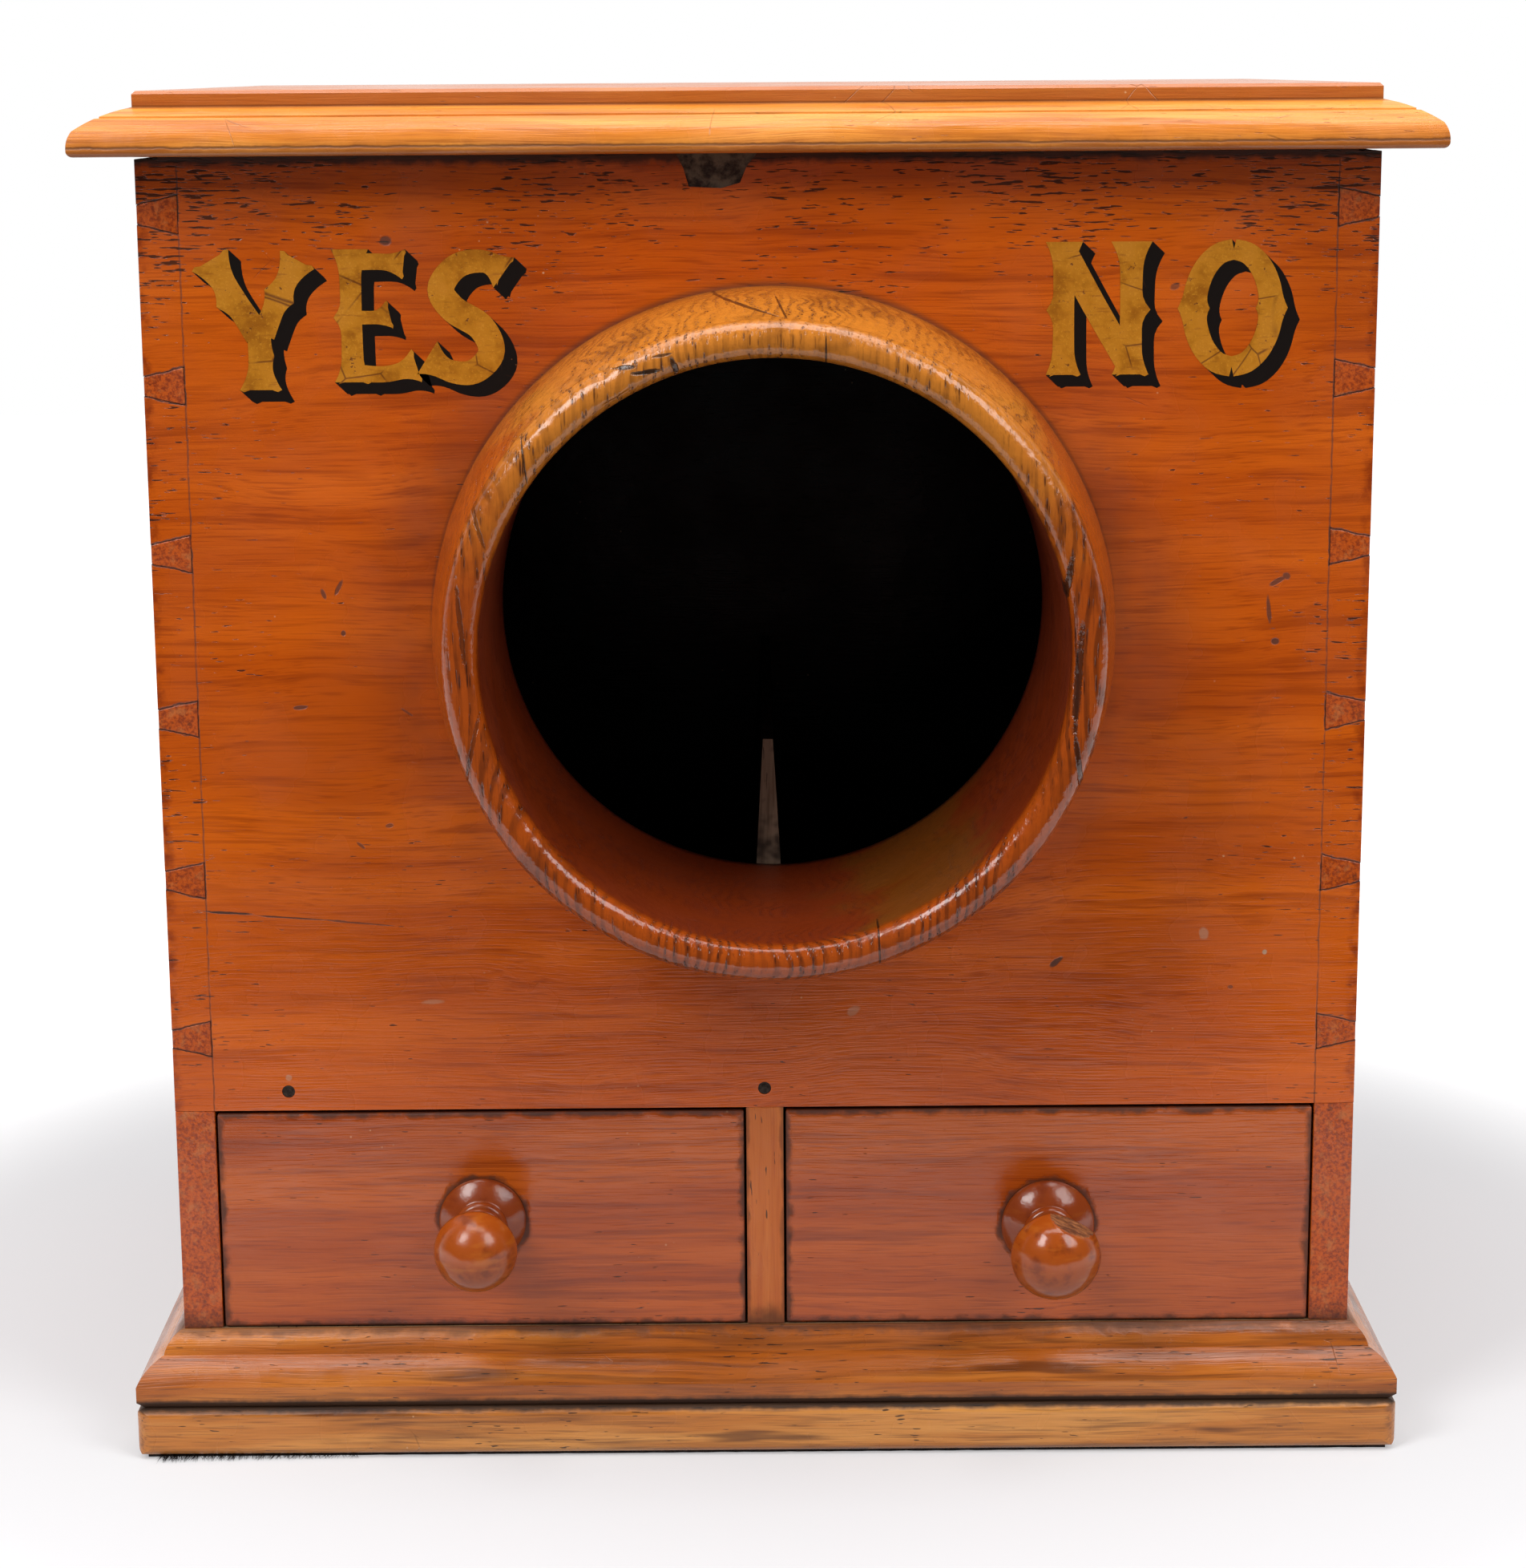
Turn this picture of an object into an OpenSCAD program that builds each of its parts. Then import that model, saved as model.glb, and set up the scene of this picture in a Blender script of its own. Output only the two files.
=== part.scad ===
// Ballot box with a moulded lid on brass hinges, a turned collar for the voter's arm,
// a chamber split by a partition, two drop holes and two drawers below.
// X runs to the right, the front faces -Y and Z is up.
// The origin is the centre of the underside, on the surface that the box stands on.

/* [Body] */
// Width over the side boards
body_w = 300; // [270:1:340]
// Depth over the front and back boards
body_d = 225; // [200:1:260]
// Thickness of the front, back and side boards
board_t = 10; // [9:0.5:12]
// Height of the front board, from the drawers to the lid
front_h = 239.2; // [225:0.1:270]
// Height of the drawer opening
drawer_open_h = 58.3; // [52:0.1:70]
// Thickness of the chamber floor and of the drawer floor
floor_t = 10; // [8:0.5:12]
// Depth of the housings that hold both floors in the side boards
housing = 3; // [2:0.5:5]
// How far the side boards have shrunk below the lid
side_drop = 0.8; // [0.2:0.1:1.5]
// Width of the worn top corners of the front board
corner_wear = 5.5; // [2:0.5:8]

/* [Corner dovetails] */
// Number of pins beside the front board
pin_count = 6; // [3:1:7]
// Height of a pin at its root
pin_wide = 9.4; // [7:0.1:12]
// Height of a pin at the outer face
pin_narrow = 4.8; // [3:0.1:6]
// From the top of the front board to the first pin's centre
first_pin = 14; // [10:0.5:20]
// From the bottom of the front board to the last pin's centre
last_pin = 19; // [10:0.5:25]
// Number of further pins of the back board beside the drawers
low_pin_count = 2; // [1:1:3]

/* [Base] */
// Thickness of the baize under the base
baize_t = 1; // [0.6:0.1:2]
// How far the baize stays inside the edge of the slab
baize_inset = 2.5; // [1:0.5:6]
// Thickness of the base slab
slab_t = 12.7; // [10:0.1:16]
// Radius of the slab's long edges
slab_edge_r = 2.4; // [1:0.1:4]
// Radius of the slab's corners seen from above
slab_corner_r = 4; // [2:0.5:8]
// How far the slab stands out from the body
slab_out = 11.6; // [9:0.1:16]
// Height of the plinth moulding
plinth_h = 17.8; // [14:0.1:22]
// How far the plinth moulding stands out from the body
plinth_out = 11.2; // [9:0.1:15]
// Width of the plinth moulding's top edge
plinth_top_t = 0.7; // [0.4:0.1:1.5]
// Height of the crease between its two lobes, as a part of its height
plinth_crease_h = 0.69; // [0.6:0.01:0.75]
// Distance of that crease from the body, as a part of its width
plinth_crease_out = 0.43; // [0.35:0.01:0.5]
// Height of its upright face, as a part of its height
plinth_face_h = 0.33; // [0.25:0.01:0.4]
// Radius of its upper lobe
plinth_upper_r = 8; // [6:0.5:12]
// Radius of its lower lobe
plinth_lower_r = 12; // [9:0.5:16]
// Width of the bevel at its foot, where dirt has gathered
plinth_foot = 1.8; // [0.5:0.1:2.5]

/* [Lid] */
// Thickness of the lid
lid_t = 15.3; // [13:0.1:18]
// How far the lid stands out from the body on every side
lid_out = 13.7; // [11:0.1:17]
// Height of the step round the raised field
lid_step = 3.8; // [2:0.1:5]
// Height of the lid's lower edge, below the ovolo
lid_edge = 2; // [1.5:0.1:4]
// Radius of the ovolo at its outer end
lid_nose_r = 7; // [6.5:0.1:9]
// Radius of the flatter part of the ovolo, up to the raised field
lid_swell_r = 31; // [26:1:40]
// Slope of the ovolo where it meets the step, in degrees
lid_swell_turn = 11; // [6:0.5:16]
// Radius of the lid's lower arris
lid_arris_r = 1.5; // [0.5:0.1:1.9]
// Width of the bevel along the raised field
lid_bevel = 0.8; // [0.3:0.1:1.5]

/* [Collar] */
// Radius of the bore that the arm goes through
bore_r = 69.8; // [55:0.1:72]
// Thickness of the spigot wall
spigot_t = 5.2; // [4:0.1:8]
// How far the collar stands out from the front board
collar_out = 46.5; // [30:0.5:60]
// How far the spigot reaches behind the face of the front board
spigot_len = 42; // [25:0.5:55]
// Thickness of the collar at the front board, over its bore
collar_base_t = 14.1; // [11:0.1:18]
// Radius of the half-round lip
lip_r = 4.7; // [3:0.1:6]
// How far the bore cuts into the round of the lip
lip_cut = 0.3; // [0.1:0.1:1]
// Thickness of the neck behind the lip
neck_t = 8.4; // [6:0.1:9]
// Distance of that thinnest place of the neck from the front of the lip
neck_back = 9.2; // [8:0.1:14]
// Radius of the swell of the neck
neck_swell_r = 110; // [60:5:300]
// Radius of the groove round the bore, inside the lip
bead_groove_r = 0.9; // [0.4:0.1:1.2]
// Distance of that groove from the front of the lip
bead_groove_at = 2.2; // [1.5:0.1:3.5]
// How far the collar lies to the right of the middle
collar_x = 3; // [0:0.5:6]
// Height of the collar's centre above the chamber floor's underside
collar_rise = 123.5; // [105:0.5:135]
// Gap between the spigot and its hole
collar_fit = 0.1; // [0.05:0.01:0.3]

/* [Chamber] */
// Thickness of the partition
partition_t = 6.5; // [4:0.5:10]
// Thickness of the partition along its top
partition_top_t = 2.6; // [1:0.1:4]
// Height of the partition above the chamber floor
partition_h = 76; // [50:1:90]
// Height of the taper at the top of the partition
partition_taper = 34; // [10:1:45]
// Gap between the collar's spigot and the partition
partition_gap = 6; // [3:0.5:12]
// How far the partition lies to the right of the middle
partition_x = 1.6; // [-2:0.1:3]
// Diameter of the two drop holes
drop_hole_d = 52; // [40:1:60]

/* [Drawers] */
// Thickness of the divider between the drawers
divider_t = 9.5; // [8:0.5:12]
// Gap behind a closed drawer, where the back board stops it
drawer_stop_gap = 0.3; // [0.2:0.1:1]
// Gap at each side of a drawer
drawer_side_gap = 0.6; // [0.4:0.1:1]
// Gap above a drawer
drawer_top_gap = 0.9; // [0.5:0.1:1.5]
// Gap under a drawer
drawer_low_gap = 0.3; // [0.2:0.1:0.5]
// Thickness of a drawer front
drawer_front_t = 10; // [9:0.5:12]
// Thickness of the drawer sides and back
drawer_side_t = 6; // [5:0.5:8]
// Thickness of the drawer bottom
drawer_bottom_t = 4; // [3:0.5:5]
// Height of the drawer bottom above the lower edge
drawer_bottom_up = 3; // [2:0.5:5]
// Depth of the grooves that hold the drawer bottom
drawer_groove = 3; // [2:0.5:4]
// How far the drawer sides stay below the top of the front
drawer_side_low = 2; // [1:0.5:5]
// Length of the lapped tails in the drawer front
drawer_tail_len = 7; // [5:0.5:8]
// Height of a drawer tail at its end
drawer_tail_h = 13; // [9:0.5:14]
// How much a drawer tail narrows towards its root, at each edge
drawer_tail_rake = 1.4; // [0.5:0.1:2]
// Distance of the lower tail above the drawer bottom
drawer_tail_low = 2; // [1:0.1:4]
// Distance of the upper tail below the top of the drawer side
drawer_tail_high = 3; // [2:0.1:5]

/* [Knobs] */
// Radius of the left knob's head
left_knob_r = 10.4; // [8:0.1:13]
// Radius of the right knob's head
right_knob_r = 11.2; // [8:0.1:13]
// How far a knob's flange is wider than its head, in radius
knob_flange_more = 0.7; // [0:0.1:2]
// How far a knob stands out from the drawer front
knob_out = 33.5; // [30:0.5:38]
// Height of the head's dome, in front of its widest place
knob_dome = 8.4; // [6:0.1:9]
// Height of the straight band round the widest place of the head
knob_band = 1; // [0.4:0.1:2]
// Radius of the round back of the head
knob_back_r = 13.5; // [13.2:0.1:18]
// Radius of the dome of the flange
knob_flange_dome_r = 15.7; // [15:0.1:24]
// Thickness of the rim of the flange
knob_rim_t = 1.2; // [0.6:0.1:2]
// Height of the rear bead's centre above the drawer front
knob_bead_at = 6.9; // [6:0.1:8]
// Radius of the knob's neck
knob_neck_r = 5.3; // [4:0.1:6]
// Radius of the rear bead on the neck
knob_rear_bead_r = 1.6; // [1:0.1:2]
// Radius of the front bead on the neck
knob_front_bead_r = 1.1; // [0.8:0.1:1.5]
// Gap between the two beads
knob_bead_gap = 0.8; // [0.2:0.1:1.5]
// Radius of the knob's dowel
knob_dowel_r = 4.5; // [3:0.1:5]
// How far the dowel passes through the drawer front
knob_dowel_more = 2; // [0:0.5:4]
// Gap between the dowel and its hole
knob_fit = 0.05; // [0.02:0.01:0.2]
// How far the right knob sits below the middle of its drawer
right_knob_low = 2.4; // [0:0.1:4]
// Distance from the right knob's axis to the break in its head
knob_chip_at = 9.2; // [8.5:0.1:9.8]
// Turn of the break, to the right from the top
knob_chip_turn = 24; // [0:1:90]
// Lean of the break, deeper towards the back of the head
knob_chip_lean = 12; // [0:1:20]

/* [Hinges] */
// Length of a hinge
hinge_len = 38; // [30:1:50]
// Distance of each hinge from the middle
hinge_x = 95; // [60:1:110]
// Thickness of a hinge leaf
leaf_t = 1.2; // [0.8:0.1:1.5]
// Width of a hinge leaf on the wood
leaf_w = 8; // [6.5:0.5:8.5]
// Radius of the hinge knuckles
knuckle_r = 2.2; // [1.8:0.1:2.6]
// Radius of the hinge pin
hinge_pin_r = 1.1; // [0.8:0.1:1.3]
// Running clearance round the hinge pin
pin_fit = 0.05; // [0.03:0.01:0.1]
// Gap between the knuckles, and between the two leaves
leaf_gap = 0.2; // [0.1:0.05:0.4]
// Gap between the knuckles and the back board
knuckle_gap = 0.3; // [0.2:0.1:0.6]
// Radius of the screw shanks
screw_r = 1.2; // [0.8:0.1:1.4]
// Radius of the screw heads
screw_head_r = 2.3; // [1.8:0.1:2.6]
// Length of the screws
screw_len = 8; // [5:0.5:10]

/* [Nails and plug] */
// Radius of the nail heads
nail_head_r = 1.6; // [1:0.1:2.5]
// Radius of the nail shanks
nail_r = 0.9; // [0.5:0.1:1]
// Thickness of the nail heads
nail_head_t = 1; // [0.6:0.1:2]
// How far the nail heads lie below the face
nail_sink = 0.2; // [0:0.1:0.5]
// Gap round a nail or a screw in its hole
nail_fit = 0.05; // [0.02:0.01:0.1]
// Length of the nails
nail_len = 28; // [18:1:36]
// Distance of the outer nail from the middle
nail_x = 121; // [60:1:125]
// How far the lock cut-out lies to the left of the middle
plug_x = 10; // [4:0.5:20]
// Depth of the lock cut-out in the top edge of the front board
plug_h = 8.6; // [6:0.1:12]
// Width of the lock cut-out at the top
plug_w = 20; // [14:0.5:28]
// How far the filler in the cut-out has sunk below the face
plug_sink = 0.4; // [0:0.1:1]

/* [Hidden] */

$fn = 96;
// Overshoot of the cutting shapes past the faces that they cut
over = 1;

// Heights, from the surface that the box stands on
slab_z = baize_t;
foot_z = slab_z + slab_t;
drawer_z = foot_z + plinth_h;
rail_z = drawer_z + drawer_open_h;
chamber_z = rail_z + floor_t;
top_z = rail_z + front_h;
collar_z = rail_z + collar_rise;

// Places across and along the body
side_x = body_w / 2;
inner_x = side_x - board_t;
front_y = -body_d / 2;
back_y = body_d / 2;
front_in_y = front_y + board_t;
back_in_y = back_y - board_t;

// Dovetail pins: the front row, and the same row carried down beside the drawers
pin_pitch = (front_h - first_pin - last_pin) / (pin_count - 1);
front_pins = [for (i = [0:pin_count - 1]) rail_z + last_pin + i * pin_pitch];
low_pin_pitch = (rail_z - foot_z) / low_pin_count;
low_pins = [for (i = [0:low_pin_count - 1]) foot_z + (i + 0.5) * low_pin_pitch];
back_pins = concat(low_pins, front_pins);

// Collar radii
spigot_r = bore_r + spigot_t;
collar_base_r = bore_r + collar_base_t;
lip_mid_r = bore_r + lip_r - lip_cut;

// Partition and drop holes
partition_y = front_y + spigot_len + partition_gap;
hole_x = inner_x / 2 + partition_t / 4;

// Drawer sizes
drawer_bay_w = inner_x - divider_t / 2;
drawer_w = drawer_bay_w - 2 * drawer_side_gap;
drawer_h = drawer_open_h - drawer_low_gap - drawer_top_gap;
drawer_base_z = drawer_z + drawer_low_gap;
drawer_x = (inner_x + divider_t / 2) / 2;
drawer_floor_z = drawer_base_z + drawer_bottom_up;
drawer_side_h = drawer_h - drawer_side_low;
drawer_back_y = back_in_y - drawer_stop_gap;
drawer_tail_low_z = drawer_floor_z + drawer_bottom_t + drawer_tail_low + drawer_tail_h / 2;
drawer_tail_high_z = drawer_base_z + drawer_side_h - drawer_tail_high - drawer_tail_h / 2;

// Hinge axis, on the joint between the lid and the body
hinge_y = back_y + knuckle_r + knuckle_gap;
leaf_edge_y = hinge_y - knuckle_r - leaf_gap;
leaf_in_y = leaf_edge_y - leaf_w;
knuckle_count = 5;
knuckle_len = hinge_len / knuckle_count;
screw_y = leaf_in_y + leaf_w / 2;
screw_pitch = hinge_len / 3;
pilot_r = screw_r + nail_fit;

// Lock cut-out, seen from the front: an uneven break that was filled
plug_outline = [
    [-plug_w / 2, 0],
    [-0.40 * plug_w, -0.45 * plug_h],
    [-0.34 * plug_w, -0.95 * plug_h],
    [0.05 * plug_w, -plug_h],
    [0.28 * plug_w, -0.85 * plug_h],
    [0.36 * plug_w, -0.40 * plug_h],
    [plug_w / 2, 0]
];

// Colours as the photograph shows them
pine = "#a8550f";
pine_red = "#8f4519";
lid_wood = "#b8742a";
base_wood = "#b0702c";
oak = "#8a4a14";
knob_wood = "#7a3512";
inner_wood = "#9b7148";
brass = "#b08d45";
iron = "#3b3733";
filler = "#4a4238";
felt = "#2a2420";

// Disc whose edge passes through a and b, on the left of the line from a to b
module lobe(a, b, r) {
    step = b - a;
    left = [-step.y, step.x] / norm(step);
    translate((a + b) / 2 - left * sqrt(r * r - step * step / 4)) circle(r);
}

// A flat outline in X and Z, made solid from y0 to y1
module along_y(y0, y1) {
    translate([0, y1, 0]) rotate([90, 0, 0]) linear_extrude(y1 - y0) children();
}

// An outline in Y and Z, made solid from x0 to x1
module along_x(x0, x1) {
    translate([x0, 0, 0]) rotate([90, 0, 90]) linear_extrude(x1 - x0) children();
}

// A block between two corners
module block(low, high) {
    translate(low) cube(high - low);
}

// Pins of one side board, sign -1 left and 1 right, through a board from y0 to y1
module pins(sign, heights, y0, y1) {
    for (z = heights)
        along_y(y0, y1) polygon([
            [sign * side_x, z - pin_narrow / 2],
            [sign * side_x, z + pin_narrow / 2],
            [sign * inner_x, z + pin_wide / 2],
            [sign * inner_x, z - pin_wide / 2]
        ]);
}

// Both rows of pins that pass through the front board
module front_pin_rows() {
    for (sign = [-1, 1]) pins(sign, front_pins, front_y, front_in_y);
}

// Both rows of pins that pass through the back board
module back_pin_rows() {
    for (sign = [-1, 1]) pins(sign, back_pins, back_in_y, back_y);
}

// Plan of a block with round corners, from -half_x to half_x and from -half_y to half_y
module round_plan(half_x, half_y, r) {
    square([2 * (half_x - r), 2 * half_y], center = true);
    square([2 * half_x, 2 * (half_y - r)], center = true);
    for (x = [-1, 1], y = [-1, 1])
        translate([x * (half_x - r), y * (half_y - r)]) circle(r);
}

// Upright section of the slab, between -half and half
module slab_section(half) {
    translate([0, slab_z + slab_t / 2]) round_plan(half, slab_t / 2, slab_edge_r);
}

module base_baize() {
    half_x = side_x + slab_out - baize_inset;
    half_y = back_y + slab_out - baize_inset;
    color(felt) linear_extrude(baize_t) round_plan(half_x, half_y, slab_corner_r);
}

module base_slab() {
    half_x = side_x + slab_out;
    half_y = back_y + slab_out;
    color(base_wood) intersection() {
        along_y(-half_y, half_y) slab_section(half_x);
        along_x(-half_x, half_x) slab_section(half_y);
        linear_extrude(2 * foot_z) round_plan(half_x, half_y, slab_corner_r);
    }
}

// Section of the plinth moulding: out from the body, up from the slab
module plinth_section() {
    top = [plinth_top_t, plinth_h];
    crease = [plinth_crease_out * plinth_out, plinth_crease_h * plinth_h];
    shoulder = [plinth_out, plinth_face_h * plinth_h];
    intersection() {
        polygon([
            [0, 0],
            [plinth_out - plinth_foot, 0],
            [plinth_out, plinth_foot],
            [plinth_out, plinth_h],
            [0, plinth_h]
        ]);
        union() {
            lobe(top, crease, plinth_upper_r);
            lobe(crease, shoulder, plinth_lower_r);
        }
    }
}

// One strip of moulding along a body face, mitred at both ends
module plinth_strip(half_length, face) {
    reach = plinth_out;
    intersection() {
        along_x(-half_length - reach, half_length + reach)
            translate([-face, foot_z]) mirror([1, 0]) plinth_section();
        linear_extrude(2 * drawer_z) polygon([
            [-half_length, -face],
            [half_length, -face],
            [half_length + reach, -face - reach],
            [-half_length - reach, -face - reach]
        ]);
    }
}

module plinth_front_moulding() {
    color(base_wood) plinth_strip(side_x, back_y);
}

module plinth_back_moulding() {
    color(base_wood) rotate([0, 0, 180]) plinth_strip(side_x, back_y);
}

module plinth_left_moulding() {
    color(base_wood) rotate([0, 0, -90]) plinth_strip(back_y, side_x);
}

module plinth_right_moulding() {
    color(base_wood) rotate([0, 0, 90]) plinth_strip(back_y, side_x);
}

// Floor that the drawers run on
module drawer_floor() {
    reach = inner_x + housing;
    color(inner_wood) block([-reach, front_y, drawer_z - floor_t], [reach, back_in_y, drawer_z]);
}

// Floor of the chamber, housed in the side boards
module chamber_floor_block() {
    reach = inner_x + housing;
    block([-reach, front_in_y, rail_z], [reach, back_in_y, chamber_z]);
}

module side_board(sign) {
    color(pine_red) difference() {
        union() {
            block([min(sign * inner_x, sign * side_x), front_y, foot_z],
                  [max(sign * inner_x, sign * side_x), back_in_y, rail_z]);
            block([min(sign * inner_x, sign * side_x), front_in_y, rail_z],
                  [max(sign * inner_x, sign * side_x), back_in_y, top_z - side_drop]);
            pins(sign, front_pins, front_y, front_in_y);
            pins(sign, back_pins, back_in_y, back_y);
        }
        chamber_floor_block();
        drawer_floor();
    }
}

module left_side_board() {
    side_board(-1);
}

module right_side_board() {
    side_board(1);
}

// Recess for one leaf of each hinge, below or above the joint
module leaf_recesses(z0, z1) {
    for (x = [-hinge_x, hinge_x])
        block([x - hinge_len / 2, leaf_in_y, z0], [x + hinge_len / 2, back_y + over, z1]);
}

// Pilot holes of the screws, from the joint to the depth of the screws
module screw_pilots(z0, z1) {
    for (x = [-hinge_x, hinge_x], i = [-1, 0, 1])
        translate([x + i * screw_pitch, screw_y, z0]) cylinder(r = pilot_r, h = z1 - z0);
}

module back_board() {
    color(pine) difference() {
        block([-side_x, back_in_y, foot_z], [side_x, back_y, top_z]);
        back_pin_rows();
        leaf_recesses(top_z - leaf_t - leaf_gap / 2, top_z + over);
        screw_pilots(top_z - screw_len, top_z + over);
    }
}

module plug_shape() {
    translate([-plug_x, top_z]) polygon(plug_outline);
}

// The nails that hold the front board to the chamber floor
module nail_shanks(r) {
    for (x = [-nail_x, 0])
        translate([x, front_y, rail_z + floor_t / 2]) rotate([-90, 0, 0]) cylinder(r = r, h = nail_len);
}

// Their heads, or the holes for them, from depth y0 to depth y1 behind the face
module nail_heads(r, y0, y1) {
    for (x = [-nail_x, 0])
        translate([x, front_y + y0, rail_z + floor_t / 2]) rotate([-90, 0, 0])
            cylinder(r = r, h = y1 - y0);
}

module front_board() {
    color(pine) difference() {
        block([-side_x, front_y, rail_z], [side_x, front_in_y, top_z]);
        front_pin_rows();
        translate([collar_x, front_in_y + over, collar_z]) rotate([90, 0, 0])
            cylinder(r = spigot_r + collar_fit, h = board_t + 2 * over);
        along_y(front_y - over, front_in_y + over) plug_shape();
        for (sign = [-1, 1])
            translate([sign * (side_x - corner_wear / 2), front_y + board_t / 2, top_z])
                cube([corner_wear, board_t + 2 * over, 2 * side_drop], center = true);
        nail_shanks(nail_r + nail_fit);
        nail_heads(nail_head_r + nail_fit, -over, nail_sink + nail_head_t);
    }
}

// Filler in the old lock cut-out, sunk a little below the face
module lock_cutout_plug() {
    color(filler) along_y(front_y + plug_sink, front_in_y) plug_shape();
}

module front_board_nails() {
    color(iron) {
        nail_shanks(nail_r);
        nail_heads(nail_head_r, nail_sink, nail_sink + nail_head_t);
    }
}

module chamber_floor() {
    color(inner_wood) difference() {
        chamber_floor_block();
        for (x = [-hole_x, hole_x])
            translate([x, 0, rail_z - over]) cylinder(d = drop_hole_d, h = floor_t + 2 * over);
        nail_shanks(nail_r + nail_fit);
    }
}

// Partition with a thin top, so that a dropped ball falls to one side
module chamber_partition() {
    shoulder_z = chamber_z + partition_h - partition_taper;
    crest_z = chamber_z + partition_h;
    color(inner_wood) translate([partition_x, 0, 0]) along_y(partition_y, back_in_y) polygon([
        [-partition_t / 2, chamber_z],
        [partition_t / 2, chamber_z],
        [partition_t / 2, shoulder_z],
        [partition_top_t / 2, crest_z],
        [-partition_top_t / 2, crest_z],
        [-partition_t / 2, shoulder_z]
    ]);
}

module drawer_divider() {
    color(pine_red)
        block([-divider_t / 2, front_y, drawer_z], [divider_t / 2, back_in_y, rail_z]);
}

// Section of the collar: distance from the axis, and out from the front board's face
module collar_section() {
    lip_mid = [lip_mid_r, collar_out - lip_r];
    neck = [bore_r + neck_t, collar_out - neck_back];
    foot = [collar_base_r, 0];
    translate([bore_r, -spigot_len]) square([spigot_t, spigot_len + over]);
    difference() {
        intersection() {
            translate([bore_r, 0]) square([collar_base_t + lip_r, collar_out]);
            union() {
                intersection() {
                    lobe(neck, foot, neck_swell_r);
                    translate([bore_r, 0]) square([collar_base_t + over, lip_mid.y]);
                }
                translate(lip_mid) circle(lip_r);
            }
        }
        translate([bore_r, collar_out - bead_groove_at]) circle(bead_groove_r);
    }
}

module arm_collar() {
    color(oak) translate([collar_x, front_y, collar_z]) rotate([90, 0, 0])
        rotate_extrude($fn = 144) collar_section();
}

// Tails of a drawer side, from the root at y0 to the end at y1
module drawer_tails(x0, x1, y0, y1) {
    for (z = [drawer_tail_low_z, drawer_tail_high_z]) {
        half_end = drawer_tail_h / 2;
        half_root = half_end - drawer_tail_rake;
        along_x(x0, x1) polygon([
            [y0, z - half_root],
            [y1, z - half_end],
            [y1, z + half_end],
            [y0, z + half_root]
        ]);
    }
}

// Front and back tails of one drawer side; side -1 is its left side, 1 its right side
module side_tails(cx, side) {
    outer = cx + side * drawer_w / 2;
    inner = outer - side * drawer_side_t;
    root_y = front_y + drawer_front_t;
    drawer_tails(min(outer, inner), max(outer, inner), root_y, root_y - drawer_tail_len);
    rear_y = drawer_back_y - drawer_side_t;
    drawer_tails(min(outer, inner), max(outer, inner), rear_y, drawer_back_y);
}

module drawer_bottom_block(cx) {
    half = drawer_w / 2 - drawer_side_t + drawer_groove;
    block([cx - half, front_y + drawer_front_t - drawer_groove, drawer_floor_z],
          [cx + half, drawer_back_y, drawer_floor_z + drawer_bottom_t]);
}

module drawer_front(cx, knob_z) {
    color(pine_red) difference() {
        block([cx - drawer_w / 2, front_y, drawer_base_z],
              [cx + drawer_w / 2, front_y + drawer_front_t, drawer_base_z + drawer_h]);
        for (side = [-1, 1]) side_tails(cx, side);
        drawer_bottom_block(cx);
        translate([cx, front_y - over, knob_z]) rotate([-90, 0, 0])
            cylinder(r = knob_dowel_r + knob_fit, h = drawer_front_t + 2 * over);
    }
}

module drawer_side(cx, side) {
    outer = cx + side * drawer_w / 2;
    inner = outer - side * drawer_side_t;
    color(inner_wood) difference() {
        union() {
            block([min(outer, inner), front_y + drawer_front_t, drawer_base_z],
                  [max(outer, inner), drawer_back_y - drawer_side_t, drawer_base_z + drawer_side_h]);
            side_tails(cx, side);
        }
        drawer_bottom_block(cx);
    }
}

module drawer_back(cx) {
    color(inner_wood) difference() {
        block([cx - drawer_w / 2, drawer_back_y - drawer_side_t, drawer_floor_z + drawer_bottom_t],
              [cx + drawer_w / 2, drawer_back_y, drawer_base_z + drawer_side_h]);
        for (side = [-1, 1]) side_tails(cx, side);
    }
}

module drawer_bottom(cx) {
    color(inner_wood) drawer_bottom_block(cx);
}

// Section of a knob: distance from its axis, and out from the drawer front
module knob_section(head_r) {
    flange_r = head_r + knob_flange_more;
    widest = knob_out - knob_dome;
    dome_r = (head_r * head_r + knob_dome * knob_dome) / (2 * knob_dome);
    back_at = widest - knob_band + sqrt(knob_back_r * knob_back_r - head_r * head_r);
    flange_at = knob_rim_t - sqrt(knob_flange_dome_r * knob_flange_dome_r - flange_r * flange_r);
    front_bead_at = knob_bead_at + knob_rear_bead_r + knob_bead_gap + knob_front_bead_r;
    dowel_end = drawer_front_t + knob_dowel_more;
    translate([0, -dowel_end]) square([knob_dowel_r, dowel_end + over]);
    square([knob_neck_r, widest]);
    intersection() {
        square([flange_r, knob_flange_dome_r]);
        translate([0, flange_at]) circle(knob_flange_dome_r);
    }
    translate([knob_neck_r, knob_bead_at]) circle(knob_rear_bead_r);
    translate([knob_neck_r, front_bead_at]) circle(knob_front_bead_r);
    intersection() {
        square([head_r, knob_out + over]);
        translate([0, knob_out - dome_r]) circle(dome_r);
        translate([0, back_at]) circle(knob_back_r);
    }
}

module knob(cx, z, head_r) {
    translate([cx, front_y, z]) rotate([90, 0, 0]) rotate_extrude() knob_section(head_r);
}

left_knob_z = drawer_base_z + drawer_h / 2;
right_knob_z = left_knob_z - right_knob_low;

module left_drawer_knob() {
    color(knob_wood) knob(-drawer_x, left_knob_z, left_knob_r);
}

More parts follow.
